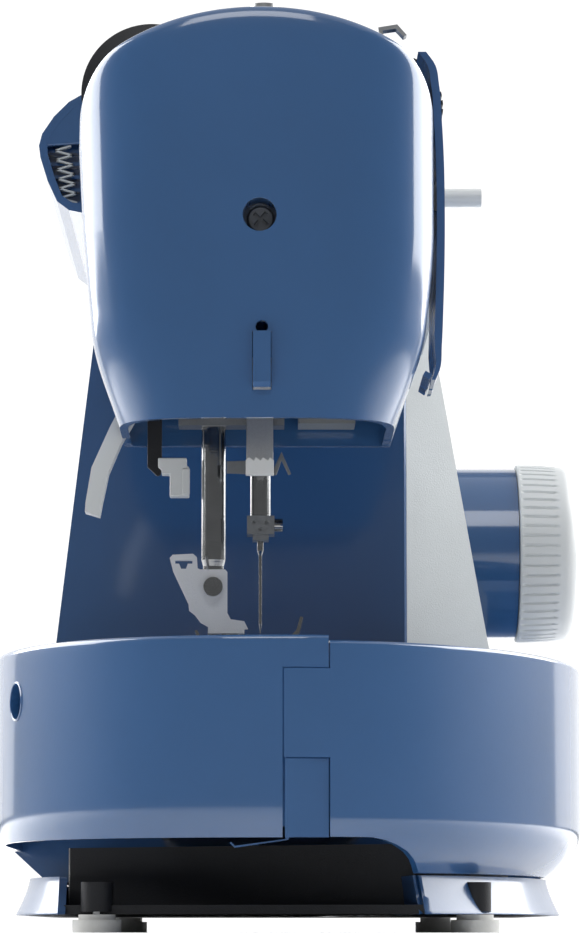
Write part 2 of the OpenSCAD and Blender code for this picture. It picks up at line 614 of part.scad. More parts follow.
bobbin_h = 11.5;
bobbin_z = bed_h - 15.5;
hook_z0 = bed_h - 22;
module hook() color("silver") difference() {
    union() {
        rod_z(hook_z0, bed_h - 8, needle_x, hook_y, hook_r);
        rod_z(lower_z + 7, hook_z0 + eps, needle_x, hook_y, 4);
        difference() {
            rod_z(lower_z - 6, lower_z + 7 + eps, needle_x, hook_y, pinion_r);
            for (i = [0:11]) translate([needle_x, hook_y, lower_z]) rotate([0, 0, 30 * i])
                translate([pinion_r, 0, 0]) cube([1.6, 1.6, 20], center = true);
        }
    }
    rod_z(hook_z0 + 2.4, bed_h, needle_x, hook_y, hook_r - 1.8);
    // pickup opening that leaves the hook's point
    block([needle_x + 2, hook_y + 6, hook_z0 + 7], [needle_x + 20, hook_y + 30, bed_h]);
}
case_r = hook_r - 2;
module bobbin_case() color("black") difference() {
    union() {
        rod_z(hook_z0 + 3, bed_h - 3, needle_x, hook_y, case_r);
        rod_z(bed_h - 7.5, bed_h - 5.5, needle_x, hook_y, hook_r);
    }
    rod_z(bobbin_z - 0.4, bed_h, needle_x, hook_y, bobbin_r + 0.5);
}
module bobbin() color("white") difference() {
    union() {
        rod_z(bobbin_z, bobbin_z + 1.3, needle_x, hook_y, bobbin_r);
        rod_z(bobbin_z + bobbin_h - 1.3, bobbin_z + bobbin_h, needle_x, hook_y, bobbin_r);
        rod_z(bobbin_z, bobbin_z + bobbin_h, needle_x, hook_y, 4.6);
    }
    rod_z(bobbin_z - 1, bobbin_z + bobbin_h + 1, needle_x, hook_y, 3);
    for (i = [0:5]) translate([needle_x, hook_y, 0]) rotate([0, 0, 60 * i]) rod_z(bobbin_z - 1, bobbin_z + bobbin_h + 1, 7.4, 0, 1.1);
}
tooth_rise = 0.3;                              // how far the feed teeth stand above the needle plate
module feed_dog() color("silver") {
    block([needle_x - 10, 3, bed_h - 7], [needle_x + 10, 24, bed_h - 4]);
    for (dx = feed_xs) difference() {
        block([needle_x + dx - feed_w / 2, dx == 0 ? 5.5 : 0, bed_h - 5], [needle_x + dx + feed_w / 2, 22.5, bed_h + tooth_rise]);
        for (i = [0:15]) translate([needle_x + dx, 0.7 + 1.5 * i, bed_h + tooth_rise + 0.2]) rotate([45, 0, 0]) cube([4, 0.7, 0.7], center = true);
    }
}

// ---- needle and presser ---------------------------------------------------------------------

clamp_z0 = head_z0 - 33;
clamp_z1 = head_z0 - 25.4;
needle_top = clamp_z0 + 9;
needle_tip = clamp_z0 - 29;
module needle_bar() color("silver") difference() {
    rod_z(clamp_z0 + 2, top_z - 21, needle_x, 0, needle_bar_r);
    rod_z(clamp_z0 - 1, needle_top, needle_x, 0, 1.02);
}
module needle_clamp() color("dimgray") difference() {
    union() {
        block([needle_x - 5.2, -4.4, clamp_z0 + 1.8], [needle_x + 4.4, 4.2, clamp_z1]);
        block([needle_x - 4.2, -2.6, clamp_z0], [needle_x + 3.4, 2.4, clamp_z0 + 2]);
    }
    rod_z(clamp_z0 + 2, clamp_z1 + 1, needle_x, 0, needle_bar_r);
    rod_z(clamp_z0 - 1, clamp_z0 + 4, needle_x, 0, 1.02);
    for (p = [[-2, 5.4], [2, 5.4], [0, 3.2]]) rod_x(needle_x - 6, needle_x - 4.4, p[0], clamp_z0 + p[1], 0.55);
}
module clamp_screw() color("silver") difference() {
    rod_y(-7, -4.4, needle_x, clamp_z0 + 5, 2.1);
    translate([needle_x, -7, clamp_z0 + 5]) cube([5, 1.4, 0.6], center = true);
}
module needle() color("silver") {
    difference() {
        union() {
            rod_z(needle_tip + 26, needle_top - 0.2, needle_x, 0, 1);
            translate([needle_x, 0, needle_tip + 24.5]) cylinder(h = 1.5 + eps, r1 = 0.5, r2 = 1);
            rod_z(needle_tip + 3, needle_tip + 24.5 + eps, needle_x, 0, 0.5);
            translate([needle_x, 0, needle_tip]) cylinder(h = 3 + eps, r1 = 0.08, r2 = 0.5);
        }
        block([needle_x - 0.2, -2, needle_tip + 4], [needle_x + 0.2, 2, needle_tip + 6]);
    }
}
threader_x = needle_x - 9;
module needle_threader() color("silver") {
    block([threader_x, -4, head_z0 - 8.6], [threader_x + 1, 4.4, head_z0 + 24]);
    block([threader_x - 0.4, -4.2, head_z0 - 13], [threader_x + 3.4, 4.6, head_z0 - 8.5]);
    for (y = [-3, 0, 3]) block([threader_x - 0.4, y - 0.5, head_z0 - 8.6], [threader_x + 0.6, y + 0.9, head_z0 - 7.4]);
    block([threader_x + 1, 4.5, head_z0 - 12.6], [threader_x + 2.2, 10.6, head_z0 - 8.4]);
    along_x(threader_x + 1, threader_x + 1.8) polygon([[-4.1, head_z0 - 13], [-4.1, head_z0 - 11], [-6.6, head_z0 - 5.6],
        [-9.6, head_z0 - 12.6], [-8.8, head_z0 - 13], [-6.6, head_z0 - 8.4], [-5, head_z0 - 13]]);
}
take_up_x = needle_x + 8;
take_up_pivot = [-20, shaft_z + 14];
module take_up_lever() color("silver") difference() {
    union() {
        along_x(take_up_x - 0.7, take_up_x + 0.7) polygon([
            [-16, shaft_z + 14], [-20, shaft_z + 18.5], [-24, shaft_z + 17], [-44, shaft_z + 14.6],
            [-54, shaft_z + 10], [-57, shaft_z + 5], [-56, shaft_z + 1], [-54, shaft_z + 1], [-54, shaft_z + 4],
            [-51, shaft_z + 7.4], [-43, shaft_z + 11.2], [-24, shaft_z + 10.5], [-20, shaft_z + 9.5]]);
        rod_x(take_up_x - 2.4, take_up_x + 2.4, take_up_pivot[0], take_up_pivot[1], 4.5);
    }
    rod_x(take_up_x - 5, take_up_x + 5, take_up_pivot[0], take_up_pivot[1], 2 + run_gap);
}
// The plate inside the head that guides both bars and carries the take-up pin
guide_x0 = needle_x - 5.4;
module bar_guide() color("dimgray") {
    difference() {
        union() {
            block([guide_x0, -7.5, head_z0 + 3], [needle_x + 5.4, presser_y + 7.5, head_z0 + 15]);
            block([guide_x0, -7.5, top_z - 38], [needle_x + 5.4, presser_y + 7.5, top_z - 28]);
            block([guide_x0, presser_y + 7.4, head_z0 + 3], [needle_x + 5.4, presser_y + 11, top_z - 28]);
            block([needle_x - 1, presser_y + 10, head_z0 + 9], [needle_x + 5.4, lifter_pivot[0] + 3, head_z0 + 20]);
            block([needle_x + 5.3, 23, shaft_z + 1], [needle_x + 40, presser_y + 11, shaft_z + 12]);
            block([needle_x + 30, frame_y + frame_t, shaft_z + 1], [needle_x + 40, presser_y + 11, shaft_z + 12]);
        }
        rod_z(head_z0, top_z, needle_x, 0, needle_bar_r + run_gap);
        rod_z(head_z0, top_z, needle_x, presser_y, presser_bar_r + run_gap);
        block([needle_x + 0.7, 30.7, head_z0], [needle_x + 2.5, 35.9, top_z]);
    }
    rod_x(needle_x + 5.3, lifter_x + 4.6, lifter_pivot[0], lifter_pivot[1], 2);
    rod_x(take_up_x - 6, take_up_x + 2.4, take_up_pivot[0], take_up_pivot[1], 2);
    block([guide_x0 + 2, -23, take_up_pivot[1] - 3], [take_up_x - 3.2, -16.5, take_up_pivot[1] + 3]);
    block([guide_x0 + 2, -16.6, take_up_pivot[1] - 3], [take_up_x - 3.2, -7.4, take_up_pivot[1] + 3]);
}
module presser_bar() color("silver") {
    rod_z(head_z0 - 39, top_z - 26, needle_x, presser_y, presser_bar_r);
    translate([needle_x, presser_y, head_z0 - 41]) cylinder(h = 2 + eps, r1 = presser_bar_r - 0.5, r2 = presser_bar_r);
    rod_z(bed_h + 9, head_z0 - 41 + eps, needle_x, presser_y, presser_bar_r - 0.5);
}
holder_x = needle_x - presser_bar_r - 2.4;
screw_z = bed_h + 19;
module foot_holder() color("gainsboro") difference() {
    union() {
        along_x(holder_x, holder_x + 2.4) polygon([
            [28.3, bed_h + 28.2], [27.4, bed_h + 29.2], [21, bed_h + 29.5], [19.8, bed_h + 28.4], [19.6, bed_h + 25],
            [18.8, bed_h + 24.6], [11, bed_h + 24.6], [10.3, bed_h + 23.8], [10.3, bed_h + 11], [9.2, bed_h + 9],
            [5, bed_h + 8.4], [3.8, bed_h + 6], [14, bed_h + 5.4], [18.6, bed_h + 8], [20.4, bed_h + 10.4],
            [22.2, bed_h + 11.8], [22.4, bed_h + 13.8], [27.2, bed_h + 24]]);
        block([holder_x, 5, bed_h + 4.6], [needle_x + 4, presser_y + 1.6, bed_h + 8]);
    }
    rod_x(holder_x - 1, holder_x + 3, presser_y, screw_z, 2.1);
    block([holder_x - 1, 21.2, bed_h + 26.4], [holder_x + 3, 26.6, bed_h + 27.4]);
    along_x(holder_x - 1, holder_x + 3) polygon([[22.6, bed_h + 26.5], [25.4, bed_h + 26.5], [24.7, bed_h + 24.8], [23.2, bed_h + 24.8]]);
    rod_z(bed_h + 8 - eps, bed_h + 40, needle_x, presser_y, presser_bar_r + 0.02);
}
module holder_screw() color("silver") difference() {
    union() {
        rod_x(holder_x - 3, holder_x, presser_y, screw_z, 3);
        rod_x(holder_x - eps, holder_x + 2.4, presser_y, screw_z, 2);
    }
    translate([holder_x - 3, presser_y, screw_z]) rotate([40, 0, 0]) cube([2, 0.9, 8], center = true);
}
foot_pivot = [9.5, bed_h + 3.1];
sole_z = bed_h + 0.9;
module presser_foot() color("silver") difference() {
    union() {
        block([needle_x - 9, -6, sole_z], [needle_x + 9, 17, sole_z + 1.2]);
        along_x(needle_x - 9, needle_x + 9) polygon([[-6 + eps, sole_z], [-9.5, sole_z + 1], [-12.2, sole_z + 4],
            [-13.4, sole_z + 8.6], [-12.4, sole_z + 8.8], [-11.2, sole_z + 4.6], [-8.8, sole_z + 2.2], [-6 + eps, sole_z + 1.2]]);
        along_x(needle_x - 9, needle_x + 9) polygon([[17 - eps, sole_z], [19.6, sole_z + 2], [20.4, sole_z + 4.4],
            [19.6, sole_z + 4.5], [18.6, sole_z + 2.7], [17 - eps, sole_z + 1.2]]);
        for (dx = [-6, 4.6]) block([needle_x + dx, 7, sole_z + 1], [needle_x + dx + 1.4, 12, bed_h + 4.4]);
        rod_x(needle_x - 6, needle_x + 6, foot_pivot[0], foot_pivot[1], 0.9);
    }
    block([needle_x - 3.8, -1.9, sole_z - 1], [needle_x + 3.8, 1.9, sole_z + 3]);
    block([needle_x - 1.3, -20, sole_z - 1], [needle_x + 1.3, -1.8, sole_z + 20]);
}
lifter_pivot = [36, head_z0 + 15];
module lifter_lever() color("gainsboro") difference() {
    union() {
        rod_x(lifter_x - 4, lifter_x + 4, lifter_pivot[0], lifter_pivot[1], 5);
        along_x(lifter_x - 4, lifter_x + 4) polygon([
            [33, head_z0 + 12], [40, head_z0 + 17], [44, head_z0 + 11], [47.6, head_z0 + 4], [51.4, head_z0 - 4.5], [53.4, head_z0 - 9],
            [55.2, head_z0 - 20], [55.4, head_z0 - 23], [50.8, head_z0 - 24.4], [49.8, head_z0 - 19], [48, head_z0 - 10.5],
            [44, head_z0 - 1], [40, head_z0 + 6]]);
    }
    rod_x(lifter_x - 5, lifter_x + 5, lifter_pivot[0], lifter_pivot[1], 2 + run_gap);
}
module buttonhole_lever() color("gainsboro") {
    block([needle_x + 1, 31, head_z0 - 10], [needle_x + 2.2, 35.6, head_z0 + 30]);
    along_x(needle_x + 1, needle_x + 2.2) polygon([[35.6, head_z0 - 10 + eps], [31, head_z0 - 10 + eps], [31, head_z0 - 12.4], [32.4, head_z0 - 12.4]]);
    along_x(needle_x, needle_x + 6) polygon([[32.2, head_z0 - 6.6], [23.2, head_z0 - 6.6], [23.2, head_z0 - 9],
        [22.2, head_z0 - 9.6], [22.2, head_z0 - 18.8], [28.5, head_z0 - 18.8], [28.5, head_z0 - 11.8], [31, head_z0 - 11.8], [31, head_z0 - 9.6],[32.2, head_z0 - 9.6]]);
}

// ---- controls and top -------------------------------------------------------------------------

module pattern_dial() color("gainsboro") difference() {
    union() {
        translate([dial_x, -dial_boss_y - 0.3, dial_z]) rotate([90, 0, 0]) rotate_extrude() polygon([
            [0, 0], [dial_r - 0.6, 0], [dial_r, 0.6], [dial_r - 0.5, 12], [dial_r - 1.4, dial_t - 5.5], [dial_r - 2.6, dial_t - 2],
            [dial_r - 5, dial_t - 0.3], [0, dial_t - 0.3]]);
        rod_y(-dial_boss_y - 1, -50, dial_x, dial_z, 6);
    }
    for (i = [0:dial_ribs - 1]) translate([dial_x, 0, dial_z]) rotate([0, 360 * i / dial_ribs, 0])
        translate([dial_r + 0.1, -dial_boss_y - 8, 0]) cube([1.5, 13, 0.5], center = true);
    translate([dial_x, -dial_reach, dial_z + dial_r - 13]) cube([1.2, 1, 12], center = true);
}
module stitch_length_dial() color("gainsboro") {
    rod_y(-(head_front + 12), -(head_front + 5.8), length_dial_x, small_dial_z, 12);
    rod_y(-(head_front + 6), -(head_front - 8), length_dial_x, small_dial_z, 4);
}
module tension_dial() color("dimgray") difference() {
    toothed_disc_x(tension_x - 4, tension_x + 4, tension_y, tension_z, tension_r, 40);
    rod_x(tension_x - 5, tension_x + 5, tension_y, tension_z, 2.5 + run_gap);
}
module reverse_lever() color("gainsboro") {
    rod_y(-(head_front + 26), -(head_front - 6), lever_x, lever_z, 3.4);
    rod_x(lever_x - 4, lever_x + 4, -(head_front - 10), lever_z, 5);
}
module power_switch() color("black") {
    intersection() {
        rod_y(20.4, 36.6, pillar_x1 - 6, switch_z, 9.4);
        block([pillar_x1 - 12, 20.4, switch_z - 9.6], [pillar_x1 + 1.8, 36.6, switch_z + 9.6]);
    }
}
module power_inlet() color("black") difference() {
    block([pillar_x1 - 16, -11.9, inlet_z - 9.9], [pillar_x1 + 0.8, 9.9, inlet_z + 9.9]);
    block([pillar_x1 - 12, -8.5, inlet_z - 6.5], [pillar_x1 + 2, 6.5, inlet_z + 6.5]);
}
winder_post_r = 1.6;                           // fixed post that the winder's spindle turns on
module winder_carrier() color("dimgray") {
    rod_z(top_z - 17, top_z - 0.6, winder_x, winder_y, 3.4);
    rod_z(top_z - 1, top_z + 6, winder_x, winder_y, winder_post_r);
    block([winder_x - 6, winder_y - 9, top_z - 17], [winder_x + 6, winder_y + 9, top_z - 13]);
}
module winder_spindle() color("gainsboro") difference() {
    union() {
        rod_z(top_z + 0.6, top_z + 12, winder_x, winder_y, spool_pin_r);
        rod_z(top_z + 0.6, top_z + 2.4, winder_x, winder_y, 8);
    }
    rod_z(top_z, top_z + 6.4, winder_x, winder_y, winder_post_r + run_gap);
}
module thread_guides() color("silver") {
    along_x(casing_x0 + 1, casing_x0 + 6) polygon([[-38, top_z - 6.6], [-37, top_z + 0.4],
        [-43, top_z + 1.4], [-46, top_z - 2], [-45, top_z - 2.6], [-42.6, top_z], [-38.4, top_z - 0.6], [-39.4, top_z - 6.6]]);
    rod_z(top_z - 10, top_z + 5.6, casing_x0 + 4, -1, 2);
    rod_z(top_z + 5.6 - eps, top_z + 8, casing_x0 + 4, -1, 4.4);
    rod_z(top_z + 1, top_z + 2.6, casing_x0 + 4, -1, 4.4);
}
module spool_pin() color("gainsboro") {
    rod_x(spool_x0 + 6, spool_x1 + wall + 2, spool_y, spool_z, spool_pin_r);
    rod_x(spool_x1 - 2, spool_x1, spool_y, spool_z, 9);
}
module spool_cap() color("dimgray") difference() {
    union() {
        translate([spool_x0 + 12, spool_y, spool_z]) rotate([0, 90, 0]) rotate_extrude() polygon([
            [spool_pin_r + run_gap, 0], [cap_r - 6, 0], [cap_r, 2.4], [cap_r, 4], [cap_r - 2, 4], [cap_r - 7, 2.4],
            [8, 2.4], [7, 9], [spool_pin_r + run_gap, 9]]);
    }
}
module lamp() color("white") {
    block([head_x1 - 22, -30, head_z0 + 5], [head_x1 - 6, -12, head_z0 + 8]);
    block([head_x1 - 20, -28, head_z0 + 8 - eps], [head_x1 - 8, -14, head_z0 + 12]);
}

// Carrying handle: a wing that lies on the rear of the crown, hollow and ribbed below
handle_t = 2.6;
handle_in = head_rear + 2.8;                      // inner side of the handle
handle_out = head_rear + 18;
handle_z = top_z - 43;                            // lower lip of the handle
handle_pivot = [38, top_z - 12.5];
handle_ribs = 13;
handle_slats = 7;
module carry_handle() color("steelblue") {
    pitch = (handle_x1 - handle_x0) / (handle_ribs + 1);
    difference() {
        along_x(handle_x0, handle_x1) polygon(handle_section());
        along_x(handle_x0 - 1, handle_x1 - handle_t) polygon(handle_hollow());
    }
    for (x = lug_xs) difference() {
        union() {
            rod_x(x + 1, x + 7, handle_pivot[0], handle_pivot[1], 4.6);
            along_x(x + 1, x + 7) polygon([[38, top_z - 8.4], [50, top_z - 13], [69, top_z - 14], [72, top_z - 17], [50, top_z - 19], [38, top_z - 16.6]]);
        }
        rod_x(x, x + 8, handle_pivot[0], handle_pivot[1], 2 + run_gap);
    }
    intersection() {
        along_x(handle_x0, handle_x1) polygon(handle_section());
        union() {
            for (i = [1:handle_ribs]) block([handle_x0 + pitch * i - 0.6, handle_in, handle_z], [handle_x0 + pitch * i + 0.6, 90, top_z]);
            for (i = [0:handle_slats]) block([handle_x0 + pitch / 2, handle_in, handle_z + 4 + 4.4 * i],
                [handle_x0 + pitch, 90, handle_z + 5.2 + 4.4 * i]);
        }
    }
}
function handle_section() = [[handle_in, handle_z], [handle_in + 5, handle_z + 1], [handle_in + 9, handle_z + 4], [handle_out - 3, handle_z + 11],
    [handle_out - 0.5, handle_z + 19], [handle_out, handle_z + 23], [handle_out - 1, handle_z + 27], [handle_out - 5, handle_z + 33],
    [handle_out - 10, handle_z + 38], [handle_in, handle_z + 41]];
function handle_hollow() = [[handle_in - 1, handle_z + 3], [handle_in + 4, handle_z + 3.6], [handle_in + 7.4, handle_z + 6], [handle_out - 5.4, handle_z + 12],
    [handle_out - 3, handle_z + 20], [handle_out - 2.8, handle_z + 23], [handle_out - 3.6, handle_z + 26], [handle_out - 7, handle_z + 31],
    [handle_out - 11, handle_z + 35.4], [handle_in - 1, handle_z + 38]];

// ---- table ---------------------------------------------------------------------------------

door_top_y = -20.7;                               // seam of the door at its top and foot
door_tab_y = -7;                                  // seam of the door's tab
tab_z0 = bed_h - 36.4;
tab_z1 = bed_h - 10;
seam = 0.35;
door_x1 = pillar_x0 - 5;
hinge_r = table_wall / 2;                      // the hinge lies inside the thickness of the door's wall
hinge_pin_r = 0.7;
hinge_x = door_x1 - hinge_r;
hinge_y = hinge_r - front_d;
door_top_z = bed_h - 1.6;
table_x1 = pillar_x0 - 0.6;
pull_x = end_x + 62;
pull_y = 75;
pull_z = bed_h - 16.5;
module table_ring(z0, z1) difference() {
    intersection() {
        plan_wall(0, z0, z1);
        block([-big, -big, 0], [table_x1, big, big]);
    }
    plan_wall(table_wall, z0 - 1, z1 + 1);
}
module door_region(grow) along_x(-big, big) polygon([
    [door_top_y + grow, bed_h + 1], [door_top_y + grow, tab_z1 + grow], [door_tab_y + grow, tab_z1 + grow], [door_tab_y + grow, tab_z0 - grow],
    [door_top_y + grow, tab_z0 - grow], [door_top_y + grow, table_z0], [-38 + grow, table_z0], [-43 + grow, 25.5], [-46.5 + grow, 20], [-48.5 + grow, 10],
    [-200, 10], [-200, bed_h + 1]]);
module latch_region(grow) along_x(-big, end_x + 60) polygon([[door_top_y - grow, table_z0 - 1], [door_top_y - grow, tab_z0 + grow],
    [door_tab_y + grow, tab_z0 + grow], [door_tab_y + grow, table_z0 - 1]]);
slot_half = free_half + table_gap;
module table_shell() color("steelblue") difference() {
    union() {
        difference() {
            table_ring(table_z0, bed_h);
            intersection() {
                door_region(seam);
                block([-big, -big, 0], [door_x1 + seam, big, big]);
            }
            latch_region(0);
        }
        // top deck, the walls of the slot for the free arm, and the floor of the tray
        intersection() {
            plan_wall(table_wall + 0.3, table_z0, bed_h);
            block([-big, -big, 0], [table_x1, big, big]);
            union() {
                block([-big, -big, bed_h - table_wall], [big, big, big]);
                slot_block(table_wall, table_z0, bed_h);
                block([-big, -big, table_z0 + 5], [big, 0, table_z0 + 5 + table_wall]);
            }
        }
        deck_edge();
        intersection() {
            pull_bore(5.6 + table_wall, 6.5);
            plan_wall(table_wall - 0.1, table_z0, bed_h - 3);
        }
        // eye for the door's hinge pin
        rod_z(door_top_z + 0.3, bed_h, hinge_x, hinge_y, hinge_r);
        block([hinge_x - hinge_r, hinge_y, door_top_z + 0.3], [door_x1 + seam + 0.5, hinge_y + 3, bed_h]);
        block([cover_x0 - 2, -slot_half - 30, bed_h - cover_t - 2], [cover_x1 + 2, -slot_half - 1, bed_h - 0.2]);
    }
    // the bobbin cover slides out over this recess
    block([cover_x0 - 0.3, -slot_half - 28, bed_h - cover_t - 0.2], [cover_x1 + 0.3, 0, big]);
    slot_block(0, 0, big);
    pull_bore(5.6, 5);
    rod_z(door_top_z, bed_h - 0.4, hinge_x, hinge_y, hinge_pin_r + run_gap);
    // room behind the latch button for it to be pressed in
    block([-big, door_top_y - 2, table_z0 + 4], [end_x + table_wall + 6, door_tab_y, table_z0 + 9]);
}
// The deck reaches the rear wall; in front it stops at the door's seam
module deck_edge() intersection() {
    plan_wall(table_wall - 0.1, bed_h - table_wall, bed_h);
    union() {
        block([-big, door_top_y + seam, 0], [table_x1, big, big]);
        block([door_x1 + seam, -big, 0], [table_x1, big, big]);
    }
}
module pull_bore(r, depth = 40) translate([pull_x - 1.2, pull_y + 2, pull_z]) rotate([0, 0, 110]) rotate([0, 90, 0])
    translate([0, 0, -depth]) cylinder(h = depth + 10, r = r);
module slot_block(grow, z0, z1) along_z(z0, z1) polygon(concat(
    [[big, -slot_half - grow], [big, slot_half + grow]],
    arc(free_x0 - table_gap + 17, slot_half - 17, 17 + grow, 90, 180, 8),
    arc(free_x0 - table_gap + 17, 17 - slot_half, 17 + grow, 180, 270, 8)));
module storage_door() color("steelblue") {
    intersection() {
        union() {
            table_ring(table_z0, door_top_z);
            difference() {
                plan_flare(waist_z + 0.3, waist_in - 0.3, table_z0, 0);
                plan_wall(waist_in + table_wall, waist_z, table_z0 + 1);
            }
        }
        door_region(0);
        union() {
            block([-big, -big, 0], [hinge_x, big, big]);
            block([-big, -big, 0], [door_x1, big, table_z0]);
        }
    }
    rod_z(table_z0, door_top_z, hinge_x, hinge_y, hinge_r - 0.02);
    rod_z(door_top_z - eps, bed_h - 0.6, hinge_x, hinge_y, hinge_pin_r);
}
module latch_button() color("steelblue") {
    intersection() {
        table_ring(table_z0, bed_h - 20);
        latch_region(-seam);
    }
    along_y(-9.2, -8) polygon([[end_x + 1, table_z0 + 2], [end_x + 14, table_z0 + 2], [end_x + 14, table_z0 + 5], [end_x + 1, table_z0 + 5]]);
    along_x(end_x + 6, end_x + 9) polygon([[-7.5, table_z0 - 0.4], [-7.5, table_z0 + 3.4], [-8.6, table_z0 + 3.4], [-8.6, table_z0 - 0.6],
        [7.6, table_z0 - 3], [9, table_z0 - 1.6], [8.6, table_z0 - 1.2], [7.4, table_z0 - 2.4]]);
}

seat() base_pan();
seat() rubber_feet();
seat() foot_screws();
seat() front_housing();
seat() rear_housing();
seat() face_cover();
seat() face_cover_screw();
seat() thread_cutter();
seat() front_panel();
seat() stitch_panel();
seat() dial_hub();
seat() free_arm();
seat() needle_plate();
seat() needle_plate_screws();
seat() frame();
seat() bearing_bushes();
seat() bar_guide();
seat() lamp();
seat() timing_belt();
seat() motor();
seat() motor_belt();
seat() thread_guides();
seat() spool_pin();
seat() bobbin_case();
seat() power_inlet();
seat() main_shaft();
seat() crank_wheel();
seat() shaft_pulleys();
seat() handwheel();
seat() lower_shaft();
seat() lower_wheels();
seat() hook();
seat() bobbin();
seat() motor_rotor();
seat() needle_bar();
seat() needle_clamp();
seat() clamp_screw();
seat() needle();
seat() needle_threader();
seat() take_up_lever();
seat() presser_bar();
seat() foot_holder();
seat() holder_screw();
seat() presser_foot();
seat() lifter_lever();
seat() buttonhole_lever();
seat() feed_dog();
seat() pattern_dial();
seat() stitch_length_dial();
seat() tension_dial();
seat() reverse_lever();
seat() power_switch();
seat() winder_carrier();
seat() winder_spindle();
seat() carry_handle();
seat() bobbin_cover();
seat() table_shell();
seat() storage_door();
seat() latch_button();
seat() spool_cap();
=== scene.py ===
"""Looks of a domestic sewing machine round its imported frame. Metres, +X to the handwheel, -Y to the operator, +Z up."""

import json
import math

import bpy
import numpy as np
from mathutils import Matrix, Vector


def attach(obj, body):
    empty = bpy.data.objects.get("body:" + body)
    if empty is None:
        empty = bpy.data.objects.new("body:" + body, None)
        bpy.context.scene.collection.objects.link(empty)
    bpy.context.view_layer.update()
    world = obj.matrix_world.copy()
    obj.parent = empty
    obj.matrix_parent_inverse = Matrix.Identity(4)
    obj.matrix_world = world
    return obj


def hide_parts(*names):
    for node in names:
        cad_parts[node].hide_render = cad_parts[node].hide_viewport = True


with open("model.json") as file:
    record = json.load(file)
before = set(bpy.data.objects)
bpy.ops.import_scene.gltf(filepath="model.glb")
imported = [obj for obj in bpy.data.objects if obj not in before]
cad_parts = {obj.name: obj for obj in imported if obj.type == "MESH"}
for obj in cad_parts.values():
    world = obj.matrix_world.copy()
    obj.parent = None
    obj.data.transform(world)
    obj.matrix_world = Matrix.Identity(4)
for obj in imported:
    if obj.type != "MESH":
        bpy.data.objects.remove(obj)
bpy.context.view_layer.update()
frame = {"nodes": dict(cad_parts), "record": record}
NODES = frame["nodes"]

# ---- sizes, in millimetres, with y measured from the needle's line -------------------------------

SEAT_Y = 15.0  # the needle's line in the row frame
END_X, NEEDLE_X, PILLAR_X0, PILLAR_X1 = -200.0, -135.0, 25.0, 172.0
BED_H, HEAD_Z0, TOP_Z = 88.0, 155.0, 283.0
FACE_X, CASING_X0 = -184.0, -150.0
HEAD_FRONT, HEAD_REAR, CROWN_R = 54.0, 56.6, 92.0
FRONT_D, REAR_D, PLAN_Y = 107.0, 86.5, -8.0
TABLE_X1, SLOT_HALF = PILLAR_X0 - 0.6, 35.2
DIAL_X, DIAL_Z, DIAL_R = 98.0, 140.0, 33.0


def metres(points):
    """Millimetres from the needle's line to metres in the row frame."""
    p = np.asarray(points, float).copy()
    p[..., 1] += SEAT_Y
    return p * 0.001


# ---- meshes --------------------------------------------------------------------------------------


def add_piece(name, verts, faces, smooth=40.0):
    """A mesh object from vertices in metres and faces; edges sharper than smooth degrees stay sharp."""
    mesh = bpy.data.meshes.new(name)
    mesh.from_pydata([tuple(v) for v in verts], [], [tuple(int(i) for i in f) for f in faces])
    mesh.validate()
    mesh.update()
    mesh.set_sharp_from_angle(angle=math.radians(smooth))
    mesh.polygons.foreach_set("use_smooth", [True] * len(mesh.polygons))
    piece = bpy.data.objects.new(name, mesh)
    bpy.context.scene.collection.objects.link(piece)
    return piece


def grid_faces(m, n, start=0, flip=False):
    """Quads of an m by n grid of points."""
    i, j = np.meshgrid(np.arange(m - 1), np.arange(n - 1), indexing="ij")
    a = (i * n + j + start).ravel()
    quads = np.stack([a, a + n, a + n + 1, a + 1], 1)
    return quads[:, ::-1] if flip else quads


def sheet_solid(outer, inner):
    """Points and faces of a closed sheet between two grids of the same size, in millimetres."""
    m, n = outer.shape[:2]
    points = np.concatenate([outer.reshape(-1, 3), inner.reshape(-1, 3)])
    border = [j for j in range(n)] + [i * n + n - 1 for i in range(1, m)]
    border += [(m - 1) * n + j for j in range(n - 2, -1, -1)] + [i * n for i in range(m - 2, 0, -1)]
    b = np.array(border)
    nxt = np.roll(b, -1)
    rim = np.stack([b, nxt, nxt + m * n, b + m * n], 1)
    faces = np.concatenate([grid_faces(m, n), grid_faces(m, n, m * n, True), rim])
    return points, faces


def join_solids(parts):
    """One list of points and faces from several closed solids."""
    points, faces, start = [], [], 0
    for p, f in parts:
        p = np.asarray(p, float).reshape(-1, 3)
        points.append(p)
        faces += [[int(i) + start for i in face] for face in f]
        start += len(p)
    return np.concatenate(points), faces


def outward(points, faces):
    """Flips all faces when the solid's volume comes out negative."""
    volume = 0.0
    for face in faces:
        for k in range(1, len(face) - 1):
            a, b, c = points[face[0]], points[face[k]], points[face[k + 1]]
            volume += float(np.dot(a, np.cross(b, c)))
    return [list(face)[::-1] for face in faces] if volume < 0 else [list(face) for face in faces]


def make(name, parts, smooth=40.0):
    """A piece from closed solids given in millimetres from the needle's line."""
    parts = [(np.asarray(p, float).reshape(-1, 3), outward(np.asarray(p, float).reshape(-1, 3), f)) for p, f in parts]
    points, faces = join_solids(parts)
    return add_piece(name, metres(points), faces, smooth)


